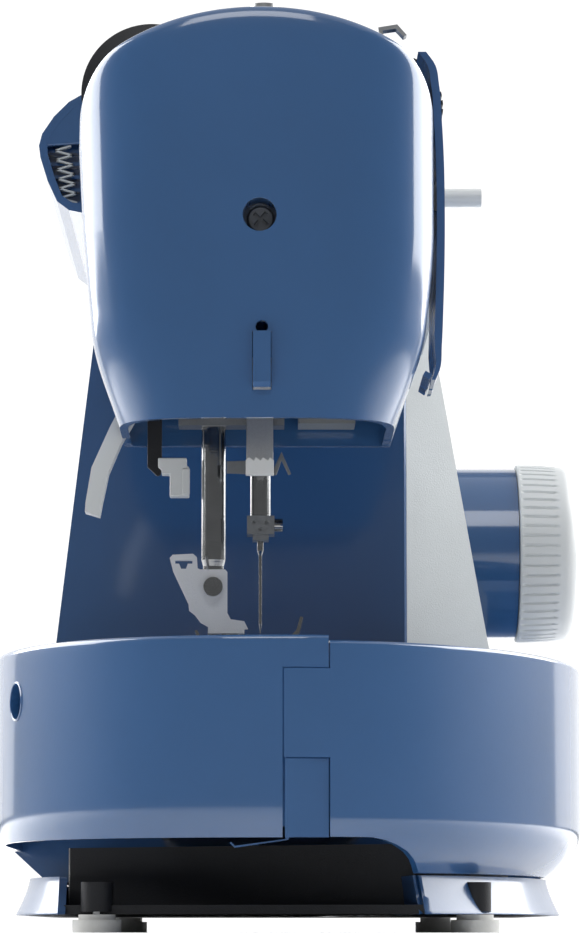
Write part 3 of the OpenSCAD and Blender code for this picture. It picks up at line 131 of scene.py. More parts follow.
def revolve(profile, centre, axis, steps=96, radius_of=None):
    """A closed profile of (radius, along) points turned about an axis through centre.

    Each point goes to centre + along * axis + radius * (cos a * side + sin a * up), a running round a full turn.
    radius_of may change the radius by angle: radius_of(radius, along, angle).
    """
    axis = np.asarray(axis, float)
    side = np.cross(axis, [0.0, 0.0, 1.0]) if abs(axis[2]) < 0.9 else np.array([1.0, 0.0, 0.0])
    side = side / np.linalg.norm(side)
    up = np.cross(axis, side)
    profile = np.asarray(profile, float)
    angle = np.linspace(0, 2 * math.pi, steps, endpoint=False)
    r, h = profile[:, 0][None, :], profile[:, 1][None, :]
    a = angle[:, None]
    r = radius_of(r, h, a) if radius_of else r + 0 * a
    p = np.asarray(centre, float) + h[..., None] * axis + (r * np.cos(a))[..., None] * side + (r * np.sin(a))[..., None] * up
    n = len(profile)
    faces = []
    for i in range(steps):
        k = (i + 1) % steps
        for j in range(n):
            q = (j + 1) % n
            faces.append([i * n + j, k * n + j, k * n + q, i * n + q])
    return p.reshape(-1, 3), faces


def along_curve(points, count):
    """Points of a polyline, spaced evenly along it."""
    points = np.asarray(points, float)
    step = np.linalg.norm(np.diff(points, axis=0), axis=1)
    s = np.concatenate([[0], np.cumsum(step)])
    t = np.linspace(0, s[-1], count)
    return np.stack([np.interp(t, s, points[:, k]) for k in range(points.shape[1])], 1)


def carve(piece, cutters):
    """Cuts closed cutter meshes out of a piece and drops the cutters."""
    for cutter in cutters:
        cut = piece.modifiers.new("cut", "BOOLEAN")
        cut.object, cut.operation, cut.solver = cutter, "DIFFERENCE", "EXACT"
    bpy.context.view_layer.update()
    done = bpy.data.meshes.new_from_object(piece.evaluated_get(bpy.context.evaluated_depsgraph_get()))
    piece.modifiers.clear()
    piece.data = done
    done.set_sharp_from_angle(angle=math.radians(35))
    for cutter in cutters:
        bpy.data.objects.remove(cutter, do_unlink=True)
    return piece


def soften(piece, width, segments=2, angle=32.0):
    """Rounds a piece's sharp edges by width millimetres and keeps its flats flat."""
    bevel = piece.modifiers.new("edge", "BEVEL")
    bevel.width, bevel.segments = width * 0.001, segments
    bevel.limit_method, bevel.angle_limit = "ANGLE", math.radians(angle)
    bevel.harden_normals = True
    bevel.use_clamp_overlap = True
    return piece


# ---- materials ---------------------------------------------------------------------------------


class Field:
    """A value that varies over a surface, written as arithmetic on node sockets."""

    def __init__(self, tree, socket):
        self.tree, self.socket = tree, socket

    def step(self, kind, out=0, settings=None, **inputs):
        """Any other node: settings are its properties, inputs its sockets by name."""
        node = self.tree.nodes.new(kind)
        for key, value in (settings or {}).items():
            setattr(node, key, value)
        for key, value in inputs.items():
            wanted = key.replace("_", " ")
            socket = next(s for s in node.inputs if s.name == wanted and s.enabled)
            if isinstance(value, Field):
                self.tree.links.new(value.socket, socket)
            else:
                socket.default_value = value
        return Field(self.tree, node.outputs[out])

    def maths(self, operation, *values):
        node = self.tree.nodes.new("ShaderNodeMath")
        node.operation = operation
        for socket, value in zip(node.inputs, values):
            if isinstance(value, Field):
                self.tree.links.new(value.socket, socket)
            else:
                socket.default_value = value
        return Field(self.tree, node.outputs[0])

    def __add__(self, other):
        return self.maths("ADD", self, other)

    def __sub__(self, other):
        return self.maths("SUBTRACT", self, other)

    def __mul__(self, other):
        return self.maths("MULTIPLY", self, other)

    def __truediv__(self, other):
        return self.maths("DIVIDE", self, other)

    def __radd__(self, other):
        return self.maths("ADD", other, self)

    def __rsub__(self, other):
        return self.maths("SUBTRACT", other, self)

    def __rmul__(self, other):
        return self.maths("MULTIPLY", other, self)

    def clamp(self):
        node = self.tree.nodes.new("ShaderNodeClamp")
        self.tree.links.new(self.socket, node.inputs[0])
        return Field(self.tree, node.outputs[0])


def finish_material(name, rgb, rough, vary=None, metallic=0.0, coat=0.0, coat_rough=0.1, alpha=1.0, emit=0.0, specular=0.5):
    """A surface of one colour and roughness; vary(place) may return changes to colour, roughness and height."""
    mat = bpy.data.materials.new(name)
    mat.use_nodes = True
    tree = mat.node_tree
    shader = tree.nodes["Principled BSDF"]
    shader.inputs["Base Color"].default_value = (*rgb, 1.0)
    shader.inputs["Roughness"].default_value = rough
    shader.inputs["Metallic"].default_value = metallic
    shader.inputs["Coat Weight"].default_value = coat
    shader.inputs["Coat Roughness"].default_value = coat_rough
    shader.inputs["Coat IOR"].default_value = 1.7
    shader.inputs["Alpha"].default_value = alpha
    shader.inputs["Specular IOR Level"].default_value = specular
    if emit:
        shader.inputs["Emission Color"].default_value = (*rgb, 1.0)
        shader.inputs["Emission Strength"].default_value = emit
    coords = tree.nodes.new("ShaderNodeTexCoord")
    place = Field(tree, coords.outputs["Object"])
    tint, change, height, depth = (vary or moulded)(place)
    if tint is not None:
        low = [max(0.0, c * 0.86) for c in rgb]
        high = [min(1.0, c * 1.12) for c in rgb]
        mixed = place.step("ShaderNodeMix", 2, {"data_type": "RGBA"}, Factor=tint)
        node = mixed.socket.node
        node.inputs[6].default_value = (*low, 1.0)
        node.inputs[7].default_value = (*high, 1.0)
        tree.links.new(mixed.socket, shader.inputs["Base Color"])
    if change is not None:
        tree.links.new((change + rough).clamp().socket, shader.inputs["Roughness"])
    if height is not None:
        bump = place.step("ShaderNodeBump", 0, None, Strength=1.0, Distance=depth, Height=height)
        tree.links.new(bump.socket, shader.inputs["Normal"])
    return mat


def noise(place, scale, detail=3.0, rough=0.5):
    return place.step("ShaderNodeTexNoise", 0, None, Vector=place, Scale=scale, Detail=detail, Roughness=rough)


def moulded(place):
    """Injection-moulded plastic: soft cloudy colour, slight flow in the gloss, a fine orange-peel skin."""
    cloud = noise(place, 14.0, 4.0)
    handled = noise(place, 55.0, 5.0, 0.6)
    skin = noise(place, 900.0, 2.0) * 0.6 + noise(place, 260.0, 2.0) * 0.4
    return cloud, (handled - 0.5) * 0.10, skin, 0.00003


def grained(place):
    """Spark-eroded plastic: a fine even grain that takes the shine off."""
    cloud = noise(place, 20.0, 3.0)
    grain = noise(place, 1800.0, 3.0, 0.6)
    return cloud, (noise(place, 80.0, 3.0) - 0.5) * 0.08, grain, 0.00009


def turned(place):
    """Turned or ground steel: fine rings along the bar and faint handling marks."""
    squeezed = place.step("ShaderNodeMapping", 0, None, Vector=place, Scale=(40.0, 40.0, 2600.0))
    rings = squeezed.step("ShaderNodeTexNoise", 0, None, Vector=squeezed, Scale=1.0, Detail=2.0)
    marks = noise(place, 120.0, 6.0, 0.65)
    return marks, (marks - 0.5) * 0.16, rings, 0.000012


def brushed(place):
    """Brushed plate: long fine scratches across the machine."""
    stretched = place.step("ShaderNodeMapping", 0, None, Vector=place, Scale=(60.0, 2200.0, 2200.0))
    lines = stretched.step("ShaderNodeTexNoise", 0, None, Vector=stretched, Scale=1.0, Detail=3.0)
    marks = noise(place, 90.0, 5.0, 0.6)
    return lines, (marks - 0.5) * 0.14, lines, 0.00002


def cast(place):
    """Cast metal: a pebbled skin with darker hollows."""
    lumps = noise(place, 420.0, 5.0, 0.62)
    return lumps, (noise(place, 60.0, 3.0) - 0.5) * 0.12, lumps, 0.00018


def soft_rubber(place):
    """Rubber with a dusty, slightly mottled skin."""
    dust = noise(place, 140.0, 6.0, 0.7)
    return dust, (dust - 0.5) * 0.12, noise(place, 1100.0, 2.0), 0.00006


FINISHES = {
    "casing": finish_material("blue_gloss_plastic", (0.022, 0.088, 0.230), 0.40, moulded, coat=1.0, coat_rough=0.10, specular=0.3),
    "base_plastic": finish_material("blue_base_plastic", (0.018, 0.072, 0.190), 0.38, moulded, coat=0.6, coat_rough=0.14, specular=0.3),
    "grey_panel": finish_material("grey_panel_plastic", (0.46, 0.49, 0.50), 0.42, grained),
    "light_plastic": finish_material("light_grey_plastic", (0.66, 0.68, 0.68), 0.34, moulded),
    # dark_plastic is the charcoal of the dark parts, and also painted shade on the block under the bed.
    "dark_plastic": finish_material("charcoal_and_shade_plastic", (0.010, 0.011, 0.014), 0.45, grained, specular=0.35),
    "clear_cover": finish_material("clear_cover_plastic", (0.75, 0.80, 0.85), 0.08, moulded, alpha=0.35),
    "bobbin_plastic": finish_material("clear_bobbin_plastic", (0.80, 0.85, 0.90), 0.12, moulded, alpha=0.45),
    "steel": finish_material("brushed_steel", (0.56, 0.57, 0.58), 0.32, brushed, metallic=1.0),
    "bright_steel": finish_material("bright_steel", (0.27, 0.275, 0.28), 0.16, turned, metallic=1.0),
    "cast_frame": finish_material("cast_metal", (0.20, 0.21, 0.22), 0.5, cast, metallic=0.85),
    "die_cast": finish_material("pale_die_cast", (0.74, 0.76, 0.80), 0.36, grained, metallic=0.35),
    "bronze": finish_material("sintered_bronze", (0.55, 0.38, 0.18), 0.45, cast, metallic=1.0),
    "rubber": finish_material("pale_rubber", (0.60, 0.60, 0.58), 0.55, soft_rubber),
    "belt_rubber": finish_material("belt_rubber", (0.02, 0.02, 0.02), 0.65, soft_rubber),
    "lamp_white": finish_material("lamp_diffuser", (0.80, 0.81, 0.80), 0.35, grained),
    "motor_case": finish_material("motor_paint", (0.05, 0.055, 0.06), 0.4, grained),
}


def dress(piece, slot):
    """Gives a piece the material of one of the record's slots."""
    piece.data.materials.clear()
    piece.data.materials.append(FINISHES[slot])
    return piece


def mount_piece(piece, body, slot, nodes):
    dress(piece, slot)
    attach(piece, body)
    if nodes:
        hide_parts(*nodes)
    return piece


for part in frame["record"]["subparts"]:
    node = NODES[part["node"]]
    for k in range(len(node.material_slots)):
        node.material_slots[k].material = FINISHES[part["material_slot"]]

# Painted shade: the lamp's lens is coloured dark grey for the shade under the head, not its own white.
NODES["lamp"].material_slots[0].material = finish_material("lamp_lens_painted_shade", (0.22, 0.23, 0.23), 0.3, grained)

# ---- head: face cover -----------------------------------------------------------------------------

SIDE_Z = np.array([155.0, 183.0, 192.0, 215.0, 231.0, 252.0])
SIDE_FRONT = np.array([41.5, 51.0, 52.2, 54.0, 54.0, 54.0])
SIDE_REAR = np.array([43.6, 52.2, 53.1, 55.2, 56.6, 56.6])


def smooth_between(x, xs, ys):
    """A smooth curve through a few points: cubic pieces whose slopes are the mean of their neighbours'."""
    xs, ys = np.asarray(xs, float), np.asarray(ys, float)
    slope = np.gradient(ys, xs)
    x = np.clip(x, xs[0], xs[-1])
    k = np.clip(np.searchsorted(xs, x) - 1, 0, len(xs) - 2)
    h = xs[k + 1] - xs[k]
    t = (x - xs[k]) / h
    return ((1 + 2 * t) * (1 - t) ** 2 * ys[k] + t * (1 - t) ** 2 * h * slope[k]
            + t * t * (3 - 2 * t) * ys[k + 1] + t * t * (t - 1) * h * slope[k + 1])


def crown_z(y, inset=0.0):
    """Height of the head's outline at a distance y from the needle's line: the crown's arc, dropping in a rounded shoulder."""
    half = np.where(y < 0, HEAD_FRONT, HEAD_REAR) - inset
    arc = TOP_Z - CROWN_R + np.sqrt(np.maximum((CROWN_R - inset) ** 2 - y ** 2, 1.0))
    edge = np.clip((np.abs(y) - (half - 15.0)) / 15.0, 0.0, 1.0)
    return arc - 17.0 * (1.0 - np.sqrt(np.maximum(1.0 - edge ** 2.6, 0.0))) * 0.85


def face_grid(inset, columns=121, rows_low=40, rows_high=56):
    """Points of the face cover.

    Across, y runs between the side walls as sin(u). Up, z runs from the rim to the crown. The bulge is
    (1 - |v|^n)^(1/n) across, times a superellipse (cos a)^(2/m) against (sin a)^(2/m) up to the crown, which rounds the top edge.
    """
    u = np.sin(np.linspace(-math.pi / 2, math.pi / 2, columns))
    half_at = lambda z, side: smooth_between(z, SIDE_Z, SIDE_FRONT if side < 0 else SIDE_REAR) - inset
    y_top = np.where(u < 0, u * (HEAD_FRONT - inset), u * (HEAD_REAR - inset))
    z_top = crown_z(y_top, inset)
    bulge = (FACE_X - CASING_X0) * -1 - inset
    plan = np.maximum(1 - np.abs(u) ** 3.2, 0.0) ** (1 / 3.2)
    middle, m = 215.0, 22.0
    rows = []
    for s in np.linspace(0, 1, rows_low, endpoint=False):
        z = HEAD_Z0 + (middle - HEAD_Z0) * s
        rows.append((np.full_like(u, z), np.ones_like(u)))
    for a in np.linspace(0, math.pi / 2, rows_high):
        w, g = math.sin(a) ** (2 / m), math.cos(a) ** (2 / m) if a < math.pi / 2 - 1e-9 else 0.0
        rows.append((middle + (z_top - middle) * w, np.full_like(u, g)))
    grid = []
    for z, g in rows:
        front, rear = half_at(z, -1), half_at(z, 1)
        y = np.where(u < 0, u * front, u * rear)
        x = CASING_X0 - bulge * plan * g
        grid.append(np.stack([x, y, z], 1))
    return np.array(grid)


def lathe_cutter(name, centre, axis, profile, steps=48):
    return make(name, [revolve(profile, centre, axis, steps)])


HOLE_Z, CUT_Z0, CUT_Z1 = 217.4, 164.0, 181.2


def box_solid(low, high):
    """Points and faces of a box between two corners."""
    (a, b, c), (d, e, f) = low, high
    points = [(x, y, z) for x in (a, d) for y in (b, e) for z in (c, f)]
    return np.array(points), [[0, 1, 3, 2], [4, 6, 7, 5], [0, 4, 5, 1], [2, 3, 7, 6], [0, 2, 6, 4], [1, 5, 7, 3]]


face_parts = [sheet_solid(face_grid(0.0), face_grid(2.6))]
face = make("face_cover_skin", face_parts, 50)
tube = [(0.01, -3.0), (5.2, -3.0), (5.2, 14.0), (0.01, 14.0)]
carve(face, [
    lathe_cutter("hole", (FACE_X, 0.3, HOLE_Z), (1, 0, 0), tube),
    make("slot", [box_solid((FACE_X - 3, -3.3, CUT_Z0 - 0.6), (FACE_X + 6, 2.5, CUT_Z1 + 0.2))]),
    lathe_cutter("notch", (FACE_X, -0.4, CUT_Z1 + 1.6), (1, 0, 0), [(0.01, -3.0), (1.9, -3.0), (1.9, 6.0), (0.01, 6.0)]),
])
mount_piece(face, "machine", "casing", ["face_cover"])
well = make("face_screw_well", [revolve([(5.15, 0.4), (5.45, 0.1), (6.6, 1.6), (6.6, 14.0), (2.3, 14.0), (2.3, 12.0), (5.15, 12.0)], (FACE_X, 0.3, HOLE_Z), (1, 0, 0), 64)])
mount_piece(well, "machine", "casing", [])

# ---- bed: plan outline shared by table, door and base ----------------------------------------------


def plan_outline(inset=0.0, count=400):
    """The bed's outline in plan, from the rear at the pillar, round the table's end, to the front at the pillar.

    Four quarter superellipses (a cos^(2/p) t, b sin^(2/p) t): p = 4 at the pillar's corners, about 2 at the table's end.
    """
    def quarter(cx, a, b, p, t0, t1):
        t = np.radians(np.linspace(t0, t1, count))
        c, s = np.cos(t), np.sin(t)
        return np.stack([cx + a * np.sign(c) * np.abs(c) ** (2 / p), PLAN_Y + b * np.sign(s) * np.abs(s) ** (2 / p)], 1)
    rear, front = REAR_D - PLAN_Y - inset, FRONT_D + PLAN_Y - inset
    loop = np.concatenate([
        quarter(PILLAR_X1 - 42, 42 - inset, rear, 4, 0, 90), quarter(END_X + 140, 140 - inset, rear, 2.4, 90, 180),
        quarter(END_X + 170, 170 - inset, front, 2.05, 180, 270), quarter(PILLAR_X1 - 42, 42 - inset, front, 4, 270, 360)])
    return along_curve(loop, 4 * 3000)[:-1]


BASE_LINE = plan_outline()
STEP = np.roll(BASE_LINE, -3, 0) - np.roll(BASE_LINE, 3, 0)
NORMAL_IN = np.stack([-STEP[:, 1], STEP[:, 0]], 1) / np.maximum(np.linalg.norm(STEP, axis=1), 1e-9)[:, None]


def wall_line(keep, count, inset=0.0, z=0.0):
    """Even points along the stretch of the drawn-in outline where keep(x, y, z) holds, with their inward directions."""
    moved = BASE_LINE + NORMAL_IN * inset
    idx = np.flatnonzero(keep(moved[:, 0], moved[:, 1], z))
    both = along_curve(np.concatenate([moved[idx], NORMAL_IN[idx] * 1e-6], 1), count)
    return both[:, :2], both[:, 2:] / np.linalg.norm(both[:, 2:], axis=1)[:, None]


def wall_sheet(keep, levels, thick, count=240):
    """A wall that follows the outline: at each (z, inset) of levels the outline is drawn in by inset, and its inner face by thick more."""
    outer, inner = [], []
    for z, inset in levels:
        line, inward = wall_line(keep, count, inset, z)
        height = np.full((count, 1), z)
        outer.append(np.concatenate([line, height], 1))
        inner.append(np.concatenate([line + inward * thick, height], 1))
    return sheet_solid(np.array(outer), np.array(inner))


def curve_levels(z0, z1, count, inset_of):
    return [(z, inset_of(z)) for z in np.linspace(z0, z1, count)]


def side_inset(z):
    """How far the bed's side is drawn in at height z: upright, then an undercut to the waist; the table's lip turns in a little."""
    if z > 34.0:
        return 0.0
    f = (34.0 - z) / 16.5
    return 11.3 * f ** 2.1


def table_inset(z):
    top = max(0.0, z - (BED_H - 1.6)) / 1.6
    rounded = 1.6 * (1 - math.sqrt(max(0.0, 1 - top * top)))
    lip = max(0.0, (36.6 - z) / 9.0)
    return rounded + 1.3 * lip ** 1.6


def rounded_top(z0, z1, count=26, fn=table_inset):
    zs = np.concatenate([np.linspace(z0, z1 - 1.6, count), z1 - 1.6 + 1.6 * np.sin(np.linspace(0.15, math.pi / 2, 9))])
    return [(z, fn(z)) for z in zs]


def slot_outline(grow, count=400):
    """Plan of the slot for the free arm: straight sides and a rounded end."""
    x0, r, half = -168.0 - 1.2 + 17.0, 17.0 + grow, 35.2 - 17.0
    a = np.linspace(math.pi / 2, math.pi, 60)
    rear = np.stack([x0 + r * np.cos(a), half + r * np.sin(a)], 1)
    front = np.stack([x0 + r * np.cos(a[::-1]), -half - r * np.sin(a[::-1])], 1)
    line = np.concatenate([[[TABLE_X1, half + r]], rear, front, [[TABLE_X1, -half - r]]])
    return along_curve(line, count)


DOOR_Y, TAB_Y, TAB_Z0, TAB_Z1, DOOR_X1 = -20.7, -7.0, 51.6, 78.0, 20.0
rear_wall = wall_sheet(lambda x, y, z: (x < TABLE_X1) & (y > TAB_Y + 0.35), rounded_top(28.0, BED_H), 2.4, 300)
top_strip = wall_sheet(lambda x, y, z: (x < -100) & (DOOR_Y + 0.35 < y) & (y < TAB_Y + 0.6), rounded_top(TAB_Z1 + 0.35, BED_H, 10), 2.4, 24)
front_strip = wall_sheet(lambda x, y, z: (DOOR_X1 + 0.35 < x) & (x < TABLE_X1) & (y < 0), rounded_top(28.0, BED_H, 26, lambda z: max(table_inset(z), side_inset(z))), 2.4, 8)
side = slot_outline(0.0)
side_out = slot_outline(2.4)
slot_wall = sheet_solid(
    np.array([np.concatenate([side_out, np.full((len(side), 1), z)], 1) for z in (28.0, 60.0, BED_H - 0.8)]),
    np.array([np.concatenate([side, np.full((len(side), 1), z)], 1) for z in (28.0, 60.0, BED_H - 0.8)]))


def deck(z0, z1):
    """The flat top between the slot and the outline, drawn in 2.7 where the door's wall stands."""
    line, inward = wall_line(lambda x, y, z: x < TABLE_X1, 400)
    drawn = np.where(line[:, 1] < DOOR_Y, np.where(line[:, 0] > DOOR_X1, 1.5, 2.75), 1.5)
    edge = line + inward * drawn[:, None]
    edge[:, 0] = np.minimum(edge[:, 0], TABLE_X1)
    rows = np.linspace(0, 1, 7)
    top = np.array([np.concatenate([side + (edge - side) * f, np.full((400, 1), z1)], 1) for f in rows])
    low = top.copy()
    low[..., 2] = z0
    return sheet_solid(top, low)


floor_line, floor_in = wall_line(lambda x, y, z: (x < TABLE_X1) & (y < 0), 160)
floor_edge = floor_line + floor_in * 2.75
inner_edge = side_out[200:]
inner_edge = along_curve(inner_edge, 160)
tray_rows = [np.concatenate([inner_edge + (floor_edge - inner_edge) * f, np.full((160, 1), 35.4)], 1) for f in (0, 0.5, 1)]
tray = np.array(tray_rows)
tray_low = tray.copy()
tray_low[..., 2] = 33.0
table = make("table_skin", [rear_wall, top_strip, front_strip, slot_wall, deck(BED_H - 2.4, BED_H), sheet_solid(tray, tray_low)], 40)
pull = lathe_cutter("pull", (-138.0, 78.0, 71.5), (-math.cos(math.radians(70)), math.sin(math.radians(70)), 0), [(0.01, -12.0), (5.6, -12.0), (5.6, 12.0), (0.01, 12.0)])
recess = make("recess", [box_solid((-159.3, -63.0, BED_H - 1.7), (-110.7, -20.0, BED_H + 2.0))])
carve(table, [pull, recess])
mount_piece(table, "table", "casing", ["table_shell"])
PULL_OUT = np.array([-math.cos(math.radians(70)), math.sin(math.radians(70)), 0.0])
pull_cup = make("pull_cup", [revolve([(5.55, -6.0), (5.55, 0.3), (5.8, 0.5), (6.2, 0.3), (6.2, -2.0), (7.6, -2.4), (7.6, -7.4), (0.01, -7.4), (0.01, -6.0)],
                                     np.array([-138.1, 75.9, 71.5]), PULL_OUT, 64)])
mount_piece(pull_cup, "table", "casing", [])

FOOT_EDGE_Z, FOOT_EDGE_Y = [17.5, 20.0, 22.0, 24.2, 26.0, 27.4, 28.2], [-48.0, -47.0, -46.0, -44.0, -41.0, -37.3, -33.0]


def door_levels(z0, z1, count):
    return [(z, side_inset(z)) for z in np.linspace(z0, z1, count)]


door_foot = wall_sheet(lambda x, y, z: (x < DOOR_X1) & (y < np.interp(z, FOOT_EDGE_Z, FOOT_EDGE_Y)), door_levels(17.8, 28.2, 26), 2.4, 320)
door_band = wall_sheet(lambda x, y, z: (x < 18.8) & (y < DOOR_Y), door_levels(28.2, 34.0, 12), 2.4, 320)
door_wall = wall_sheet(lambda x, y, z: (x < 18.8) & (y < DOOR_Y), rounded_top(34.0, BED_H - 1.6, 20, lambda z: max(0.0, z - 85.2) ** 2 * 0.8), 2.4, 320)
door_tab = wall_sheet(lambda x, y, z: (x < -120) & (y > DOOR_Y - 0.6) & (y < TAB_Y), curve_levels(TAB_Z0, TAB_Z1, 24, lambda z: 0.0), 2.4, 30)
door = make("storage_door_skin", [
    door_foot, door_band, door_wall, door_tab,
    revolve([(1.18, 28.0), (1.18, 86.4), (0.01, 86.4), (0.01, 28.0)], (18.8, -105.8, 0), (0, 0, 1), 32),
    revolve([(0.7, 86.3), (0.7, 87.4), (0.01, 87.4), (0.01, 86.3)], (18.8, -105.8, 0), (0, 0, 1), 32)], 40)
mount_piece(door, "storage_door", "casing", ["storage_door"])

# ---- base ------------------------------------------------------------------------------------------

SKIRT = [(z, 11.5 - 4.5 * ((17.2 - z) / 11.7) ** 1.4) for z in np.linspace(17.2, 5.9, 16)] + [(5.6, 7.2), (5.5, 7.6)]


def leg_edge(z):
    return -48.0 - 1.8 * (17.2 - z) / 11.7


def plate_solid(outline, z0, z1):
    """A flat plate between two heights with the given outline."""
    n = len(outline)
    low = np.concatenate([outline, np.full((n, 1), z0)], 1)
    high = np.concatenate([outline, np.full((n, 1), z1)], 1)
    k = np.arange(n)
    sides = np.stack([k, np.roll(k, -1), np.roll(k, -1) + n, k + n], 1).tolist()
    return np.concatenate([low, high]), sides + [k[::-1].tolist(), (k + n).tolist()]


skirt_rear = wall_sheet(lambda x, y, z: (y > 62.0) | ((x > 100) & (y > -8)), SKIRT[::-1], 2.6, 260)
skirt_front = wall_sheet(lambda x, y, z: ((y < leg_edge(z)) | ((x > 100) & (y <= -8))) & ((x < 100) | (y < 0)), SKIRT[::-1], 2.6, 420)
skirt = make("base_skirt", [skirt_rear, skirt_front], 40)
mount_piece(skirt, "machine", "base_plastic", ["base_pan"])


def base_outline(inset, count):
    line, _ = wall_line(lambda x, y, z: (y > 62.0) | (y < -50.0) | (x > 0), count, inset)
    return line


# Painted shade: a charcoal block with posts fills the space under the bed and closes the gap below the table, where
# there is only shade.
posts = [revolve([(0.01, 6.4), (5.0, 6.4), (5.0, 15.4), (0.01, 15.4)], (x, y, 0), (0, 0, 1), 32) for x in (-150.0, 130.0) for y in (50.0, -66.0)]
shade_plinth = make("base_shade_block", [plate_solid(base_outline(9.0, 360), 5.6, 8.4), plate_solid(base_outline(24.0, 360), 8.2, 27.2)] + posts, 40)
mount_piece(shade_plinth, "machine", "dark_plastic", [])

# ---- front panel -----------------------------------------------------------------------------------

PANEL_Z = [171.2, 174.3, 182.1, 193.2, 205.8, 218.5, 228.0, 240.8, 253.5, 264.7, 271.8, 275.4]
PANEL_Y = [-54.6, -55.9, -56.6, -57.1, -57.5, -57.7, -57.7, -57.5, -56.9, -56.1, -54.6, -52.0]


def panel_grid(draw_in, count_x=80, count_z=70):
    """Front panel: y follows a smooth curve of z; the lower edge steps up from the head to the arm along a slope."""
    xs = np.concatenate([np.linspace(-149.9, -112, 24), np.linspace(-111, -95, 20), np.linspace(-94, 23, count_x - 44)])
    lower = np.interp(xs, [-150, -110, -96, 23], [171.2, 171.2, 204.0, 204.0])
    f = np.linspace(0, 1, count_z)[:, None]
    z = lower[None, :] + (275.4 - lower[None, :]) * f
    y = smooth_between(z, PANEL_Z, PANEL_Y) + draw_in * (1.0 - 0.55 * np.clip((185.0 - z) / 14.0, 0, 1))
    return np.stack([xs[None, :] + 0 * z, y, z], 2)


panel = make("front_panel_skin", [sheet_solid(panel_grid(0.0), panel_grid(2.5)),
    sheet_solid(*[np.array([[[x, y, z] for x in (-149.9, -112.0)] for y, z in ((-52.6 + d, 171.3 + e), (-50.6 + d, 172.6 + e))]) for d, e in ((0, 0), (-0.9, 1.5))])], 40)
carve(panel, [make("panel_cut", [box_solid((x - 1.4, -70.0, 150.0), (x + 1.4, -20.0, 261.0))]) for x in (-127.0, -114.0)]
      + [make("dial_window", [box_solid((-101.6, -70.0, 248.6), (-92.4, -27.0, 284.0))])])
mount_piece(panel, "machine", "casing", ["front_panel"])

# ---- parts round the needle --------------------------------------------------------------------------


def bar_x(outline, x0, x1):
    """A plate with an outline in y and z, between two places along x."""
    outline = np.asarray(outline, float)
    n = len(outline)
    k = np.arange(n)
    points = np.concatenate([np.insert(outline, 0, x0, 1), np.insert(outline, 0, x1, 1)])
    sides = np.stack([k, np.roll(k, -1), np.roll(k, -1) + n, k + n], 1).tolist()
    return points, sides + [k[::-1].tolist(), (k + n).tolist()]


screw_disc = [(0.01, 9.0), (3.6, 9.0), (4.3, 9.5), (4.3, 12.0), (2.0, 12.0), (2.0, 34.0), (0.01, 34.0)]
screw = make("face_screw", [revolve(screw_disc, (FACE_X, 0.0, HOLE_Z), (1, 0, 0), 48)])
carve(screw, [make("cross%d" % k, [bar_x([(math.cos(a) * u - math.sin(a) * v, HOLE_Z + math.sin(a) * u + math.cos(a) * v)
                                          for u, v in ((-2.7, -0.55), (2.7, -0.55), (2.7, 0.55), (-2.7, 0.55))], FACE_X + 8, FACE_X + 10.6)])
              for k, a in enumerate((0.7, 0.7 + math.pi / 2))])
mount_piece(screw, "machine", "cast_frame", ["face_cover_screw"])

arm = make("buttonhole_arm", [bar_x([(31.0, 145.0), (31.0, 185.0), (35.6, 185.0), (35.6, 145.6), (32.4, 142.6), (31.4, 143.0)], NEEDLE_X + 1, NEEDLE_X + 2.2)])
mount_piece(soften(arm, 0.3), "buttonhole_lever", "dark_plastic", ["buttonhole_lever"])
grip = make("buttonhole_grip", [
    bar_x([(32.2, 148.4), (23.2, 148.4), (23.2, 146.0), (22.4, 145.4), (22.4, 136.2), (28.5, 136.2), (28.5, 143.2), (31.0, 143.2), (31.2, 144.6), (32.2, 145.4)], NEEDLE_X, NEEDLE_X + 6),
    bar_x([(24.6, 145.0), (22.2, 145.0), (22.2, 136.8), (24.6, 136.8)], NEEDLE_X - 0.5, NEEDLE_X + 0.4)])
mount_piece(soften(grip, 0.35), "buttonhole_lever", "light_plastic", [])

THREADER_X = -144.0
strip = make("threader_strip", [bar_x([(-4.0, 146.0), (4.4, 146.0), (4.4, 179.0), (-4.0, 179.0)], THREADER_X, THREADER_X + 1)])
mount_piece(soften(strip, 0.2), "needle_threader", "steel", ["needle_threader"])
teeth = [(-4.2, 142.0), (4.6, 142.0), (4.6, 146.6)] + [(4.6 - 1.1 * k - 0.55 * (k % 2 == 0) + 0.2, 146.6 + 1.0 * (k % 2)) for k in range(1, 8)] + [(-4.2, 146.6)]
collar = make("threader_collar", [bar_x(teeth, THREADER_X - 0.4, THREADER_X + 3.4)])
mount_piece(soften(collar, 0.25), "needle_threader", "lamp_white", [])
hook_line = [(-4.1, 142.2), (-4.1, 144.0), (-6.6, 149.4), (-9.6, 142.4), (-8.8, 142.0), (-6.6, 146.6), (-5.0, 142.0)]
hook = make("threader_hook", [bar_x(hook_line, THREADER_X + 1, THREADER_X + 1.8),
    bar_x([(4.5, 142.4), (10.6, 142.6), (10.6, 146.4), (4.5, 146.6)], THREADER_X + 1, THREADER_X + 2.2)])
mount_piece(soften(hook, 0.2), "needle_threader", "cast_frame", [])

HANDLE_X0 = -60.0
cheek = make("handle_cheek", [bar_x([(59.8, 263.8), (71.9, 262.9), (74.1, 262.6), (73.8, 266.2), (69.8, 272.4), (64.8, 277.6), (59.8, 280.4)], HANDLE_X0 + 0.1, HANDLE_X0 + 1.6)])
mount_piece(soften(cheek, 0.5, 3), "carry_handle", "casing", [])
zigzag = np.array([(66.0 + (2.3 if k % 2 else -3.2) + 2.2 * (k / 12.0 - 0.5), 243.4 + 1.62 * k) for k in range(13)])
ribs = [bar_x([zigzag[k], zigzag[k + 1], zigzag[k + 1] + (0.0, 0.62), zigzag[k] + (0.0, 0.62)], HANDLE_X0 + 0.8, HANDLE_X0 + 3.2) for k in range(12)]
rib_piece = make("handle_ribs", ribs)
mount_piece(rib_piece, "carry_handle", "grey_panel", [])

# ---- pattern dial ------------------------------------------------------------------------------------

RIBS = 56


